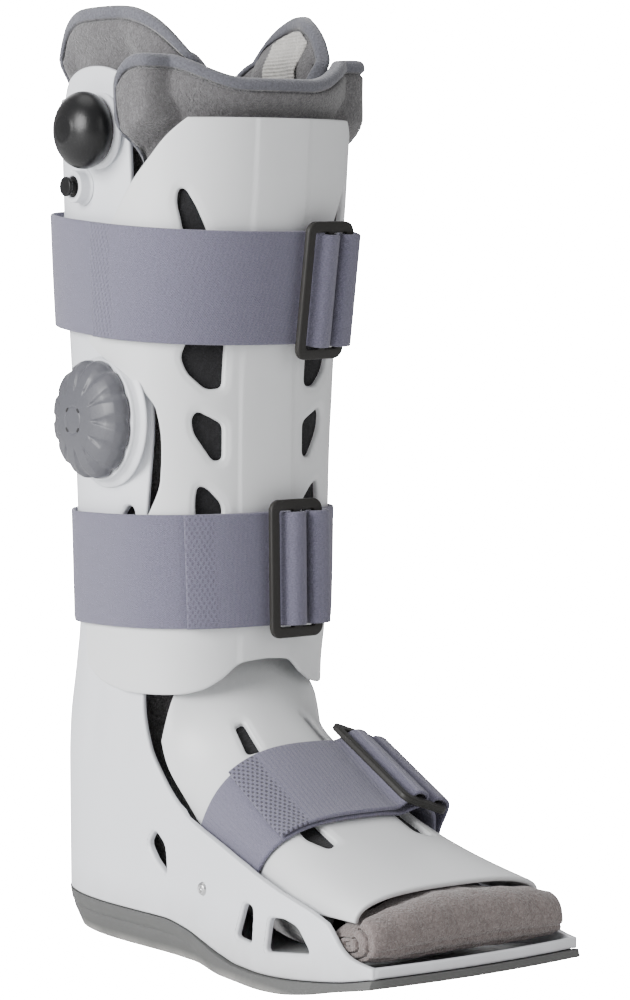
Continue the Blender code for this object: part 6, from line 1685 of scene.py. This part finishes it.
dome_h = np.interp(dial_r, DIAL_PROFILE_R, DIAL_PROFILE_H)
smooth_h = 0.22 + 0.78 * np.sqrt(np.maximum(1.0 - dial_r**2.35, 0.0))
dome_h = DIAL_LENGTH * (0.35 * dome_h + 0.65 * smooth_h)
notch = (0.5 + 0.5 * np.cos(DIAL_NOTCHES * angle)) ** 3
reach = np.clip((dial_r - LEAF_END) / (1.0 - LEAF_END), 0.0, 1.0)
leaf_width = 0.10 + 0.55 * reach
leaf_angle = np.abs((angle * DIAL_NOTCHES + math.pi) % (2.0 * math.pi) - math.pi) / math.pi
leaf = np.clip(1.0 - (leaf_angle / leaf_width) ** 2, 0.0, 1.0) ** 0.6 * smooth_step(0.0, 0.25, reach)
ring_line = 0.00025 * np.exp(-((dial_r * DIAL_RADIUS - DIAL_RING) / 0.0003) ** 2)
height = dome_h - LEAF_DEPTH * leaf * (1.0 - 0.3 * reach) - ring_line
radius = dial_r * DIAL_RADIUS - DIAL_NOTCH_DEPTH * notch * smooth_step(0.72, 0.95, dial_r)
wall_h = np.array([0.18, 0.10, 0.03, 0.0])[:, None] * DIAL_LENGTH
wall_r = np.broadcast_to(radius[-1:], (4, angle.shape[1])) - np.array([0.0, 0.0, 0.0001, 0.0006])[:, None]
height = np.concatenate([height, np.broadcast_to(wall_h, wall_r.shape), np.zeros((1, angle.shape[1]))])
radius = np.concatenate([radius, wall_r, np.zeros((1, angle.shape[1]))])
turn = np.broadcast_to(angle, radius.shape)
top_seat = dial_seat + (-DIAL_BOSS_RISE - SMALL_GAP, 0.0, 0.0)
dial_grid = top_seat + np.stack([-height, radius * np.cos(turn), radius * np.sin(turn)], -1)
dial = make_piece("selector_dial", dial_grid.reshape(-1, 3), grid_quads(*dial_grid.shape[:2], wrap=True),
                  DIAL_PLASTIC, weld=True, sharp=50.0)
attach(dial, "selector")
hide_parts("dial")
# Painted shade: each slot is a thin dark patch laid just proud of the dome, not a cut, standing for its hollow.
SLOT_HALF = (0.0011, 0.0006)
for quarter in range(4):
    spin = math.pi / 4 + quarter * math.pi / 2
    around_slot = np.linspace(0.0, 2.0 * math.pi, 25)[:-1]
    rings = []
    for grow, depth in ((0.0, 0.0), (1.0, 0.0), (1.0, -0.0006), (0.0, -0.0006)):
        along_slot = SLOT_HALF[0] * grow * signed_power(np.cos(around_slot), 0.6)
        over_slot = DIAL_RING + SLOT_HALF[1] * grow * signed_power(np.sin(around_slot), 0.6)
        out = np.full(24, float(np.interp(DIAL_RING / DIAL_RADIUS, dial_r[:, 0], dome_h[:, 0])) + 0.00008 + depth)
        y = over_slot * math.cos(spin) - along_slot * math.sin(spin)
        z = over_slot * math.sin(spin) + along_slot * math.cos(spin)
        rings.append(top_seat + np.stack([-out, y, z], -1))
    rings = np.stack(rings)
    slot = make_piece(f"dial_slot_{quarter + 1}", rings.reshape(-1, 3), grid_quads(4, 24, wrap=True), SLOT_PAINTED_SHADE,
                      weld=True)
    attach(slot, "selector")

# Side rivets: steel rivets through the side walls, which hold the foot strap's tucked ends.
SIDE_RIVET = (0.0655, 0.0340)
SIDE_RIVET_RADIUS = 0.0030
for side_sign, word in ((-1, "near"), (1, "far")):
    half = float(shell_half_width(*SIDE_RIVET))
    make_turned(f"{word}_side_rivet_head", rivet_profile(SIDE_RIVET_RADIUS, 0.0, RIVET_HEAD * 1.1),
                (side_sign * half, -SIDE_RIVET[0], SIDE_RIVET[1]), (side_sign, 0.0, 0.0), STEEL, "boot",
                f"{word}_side_rivet", 48)
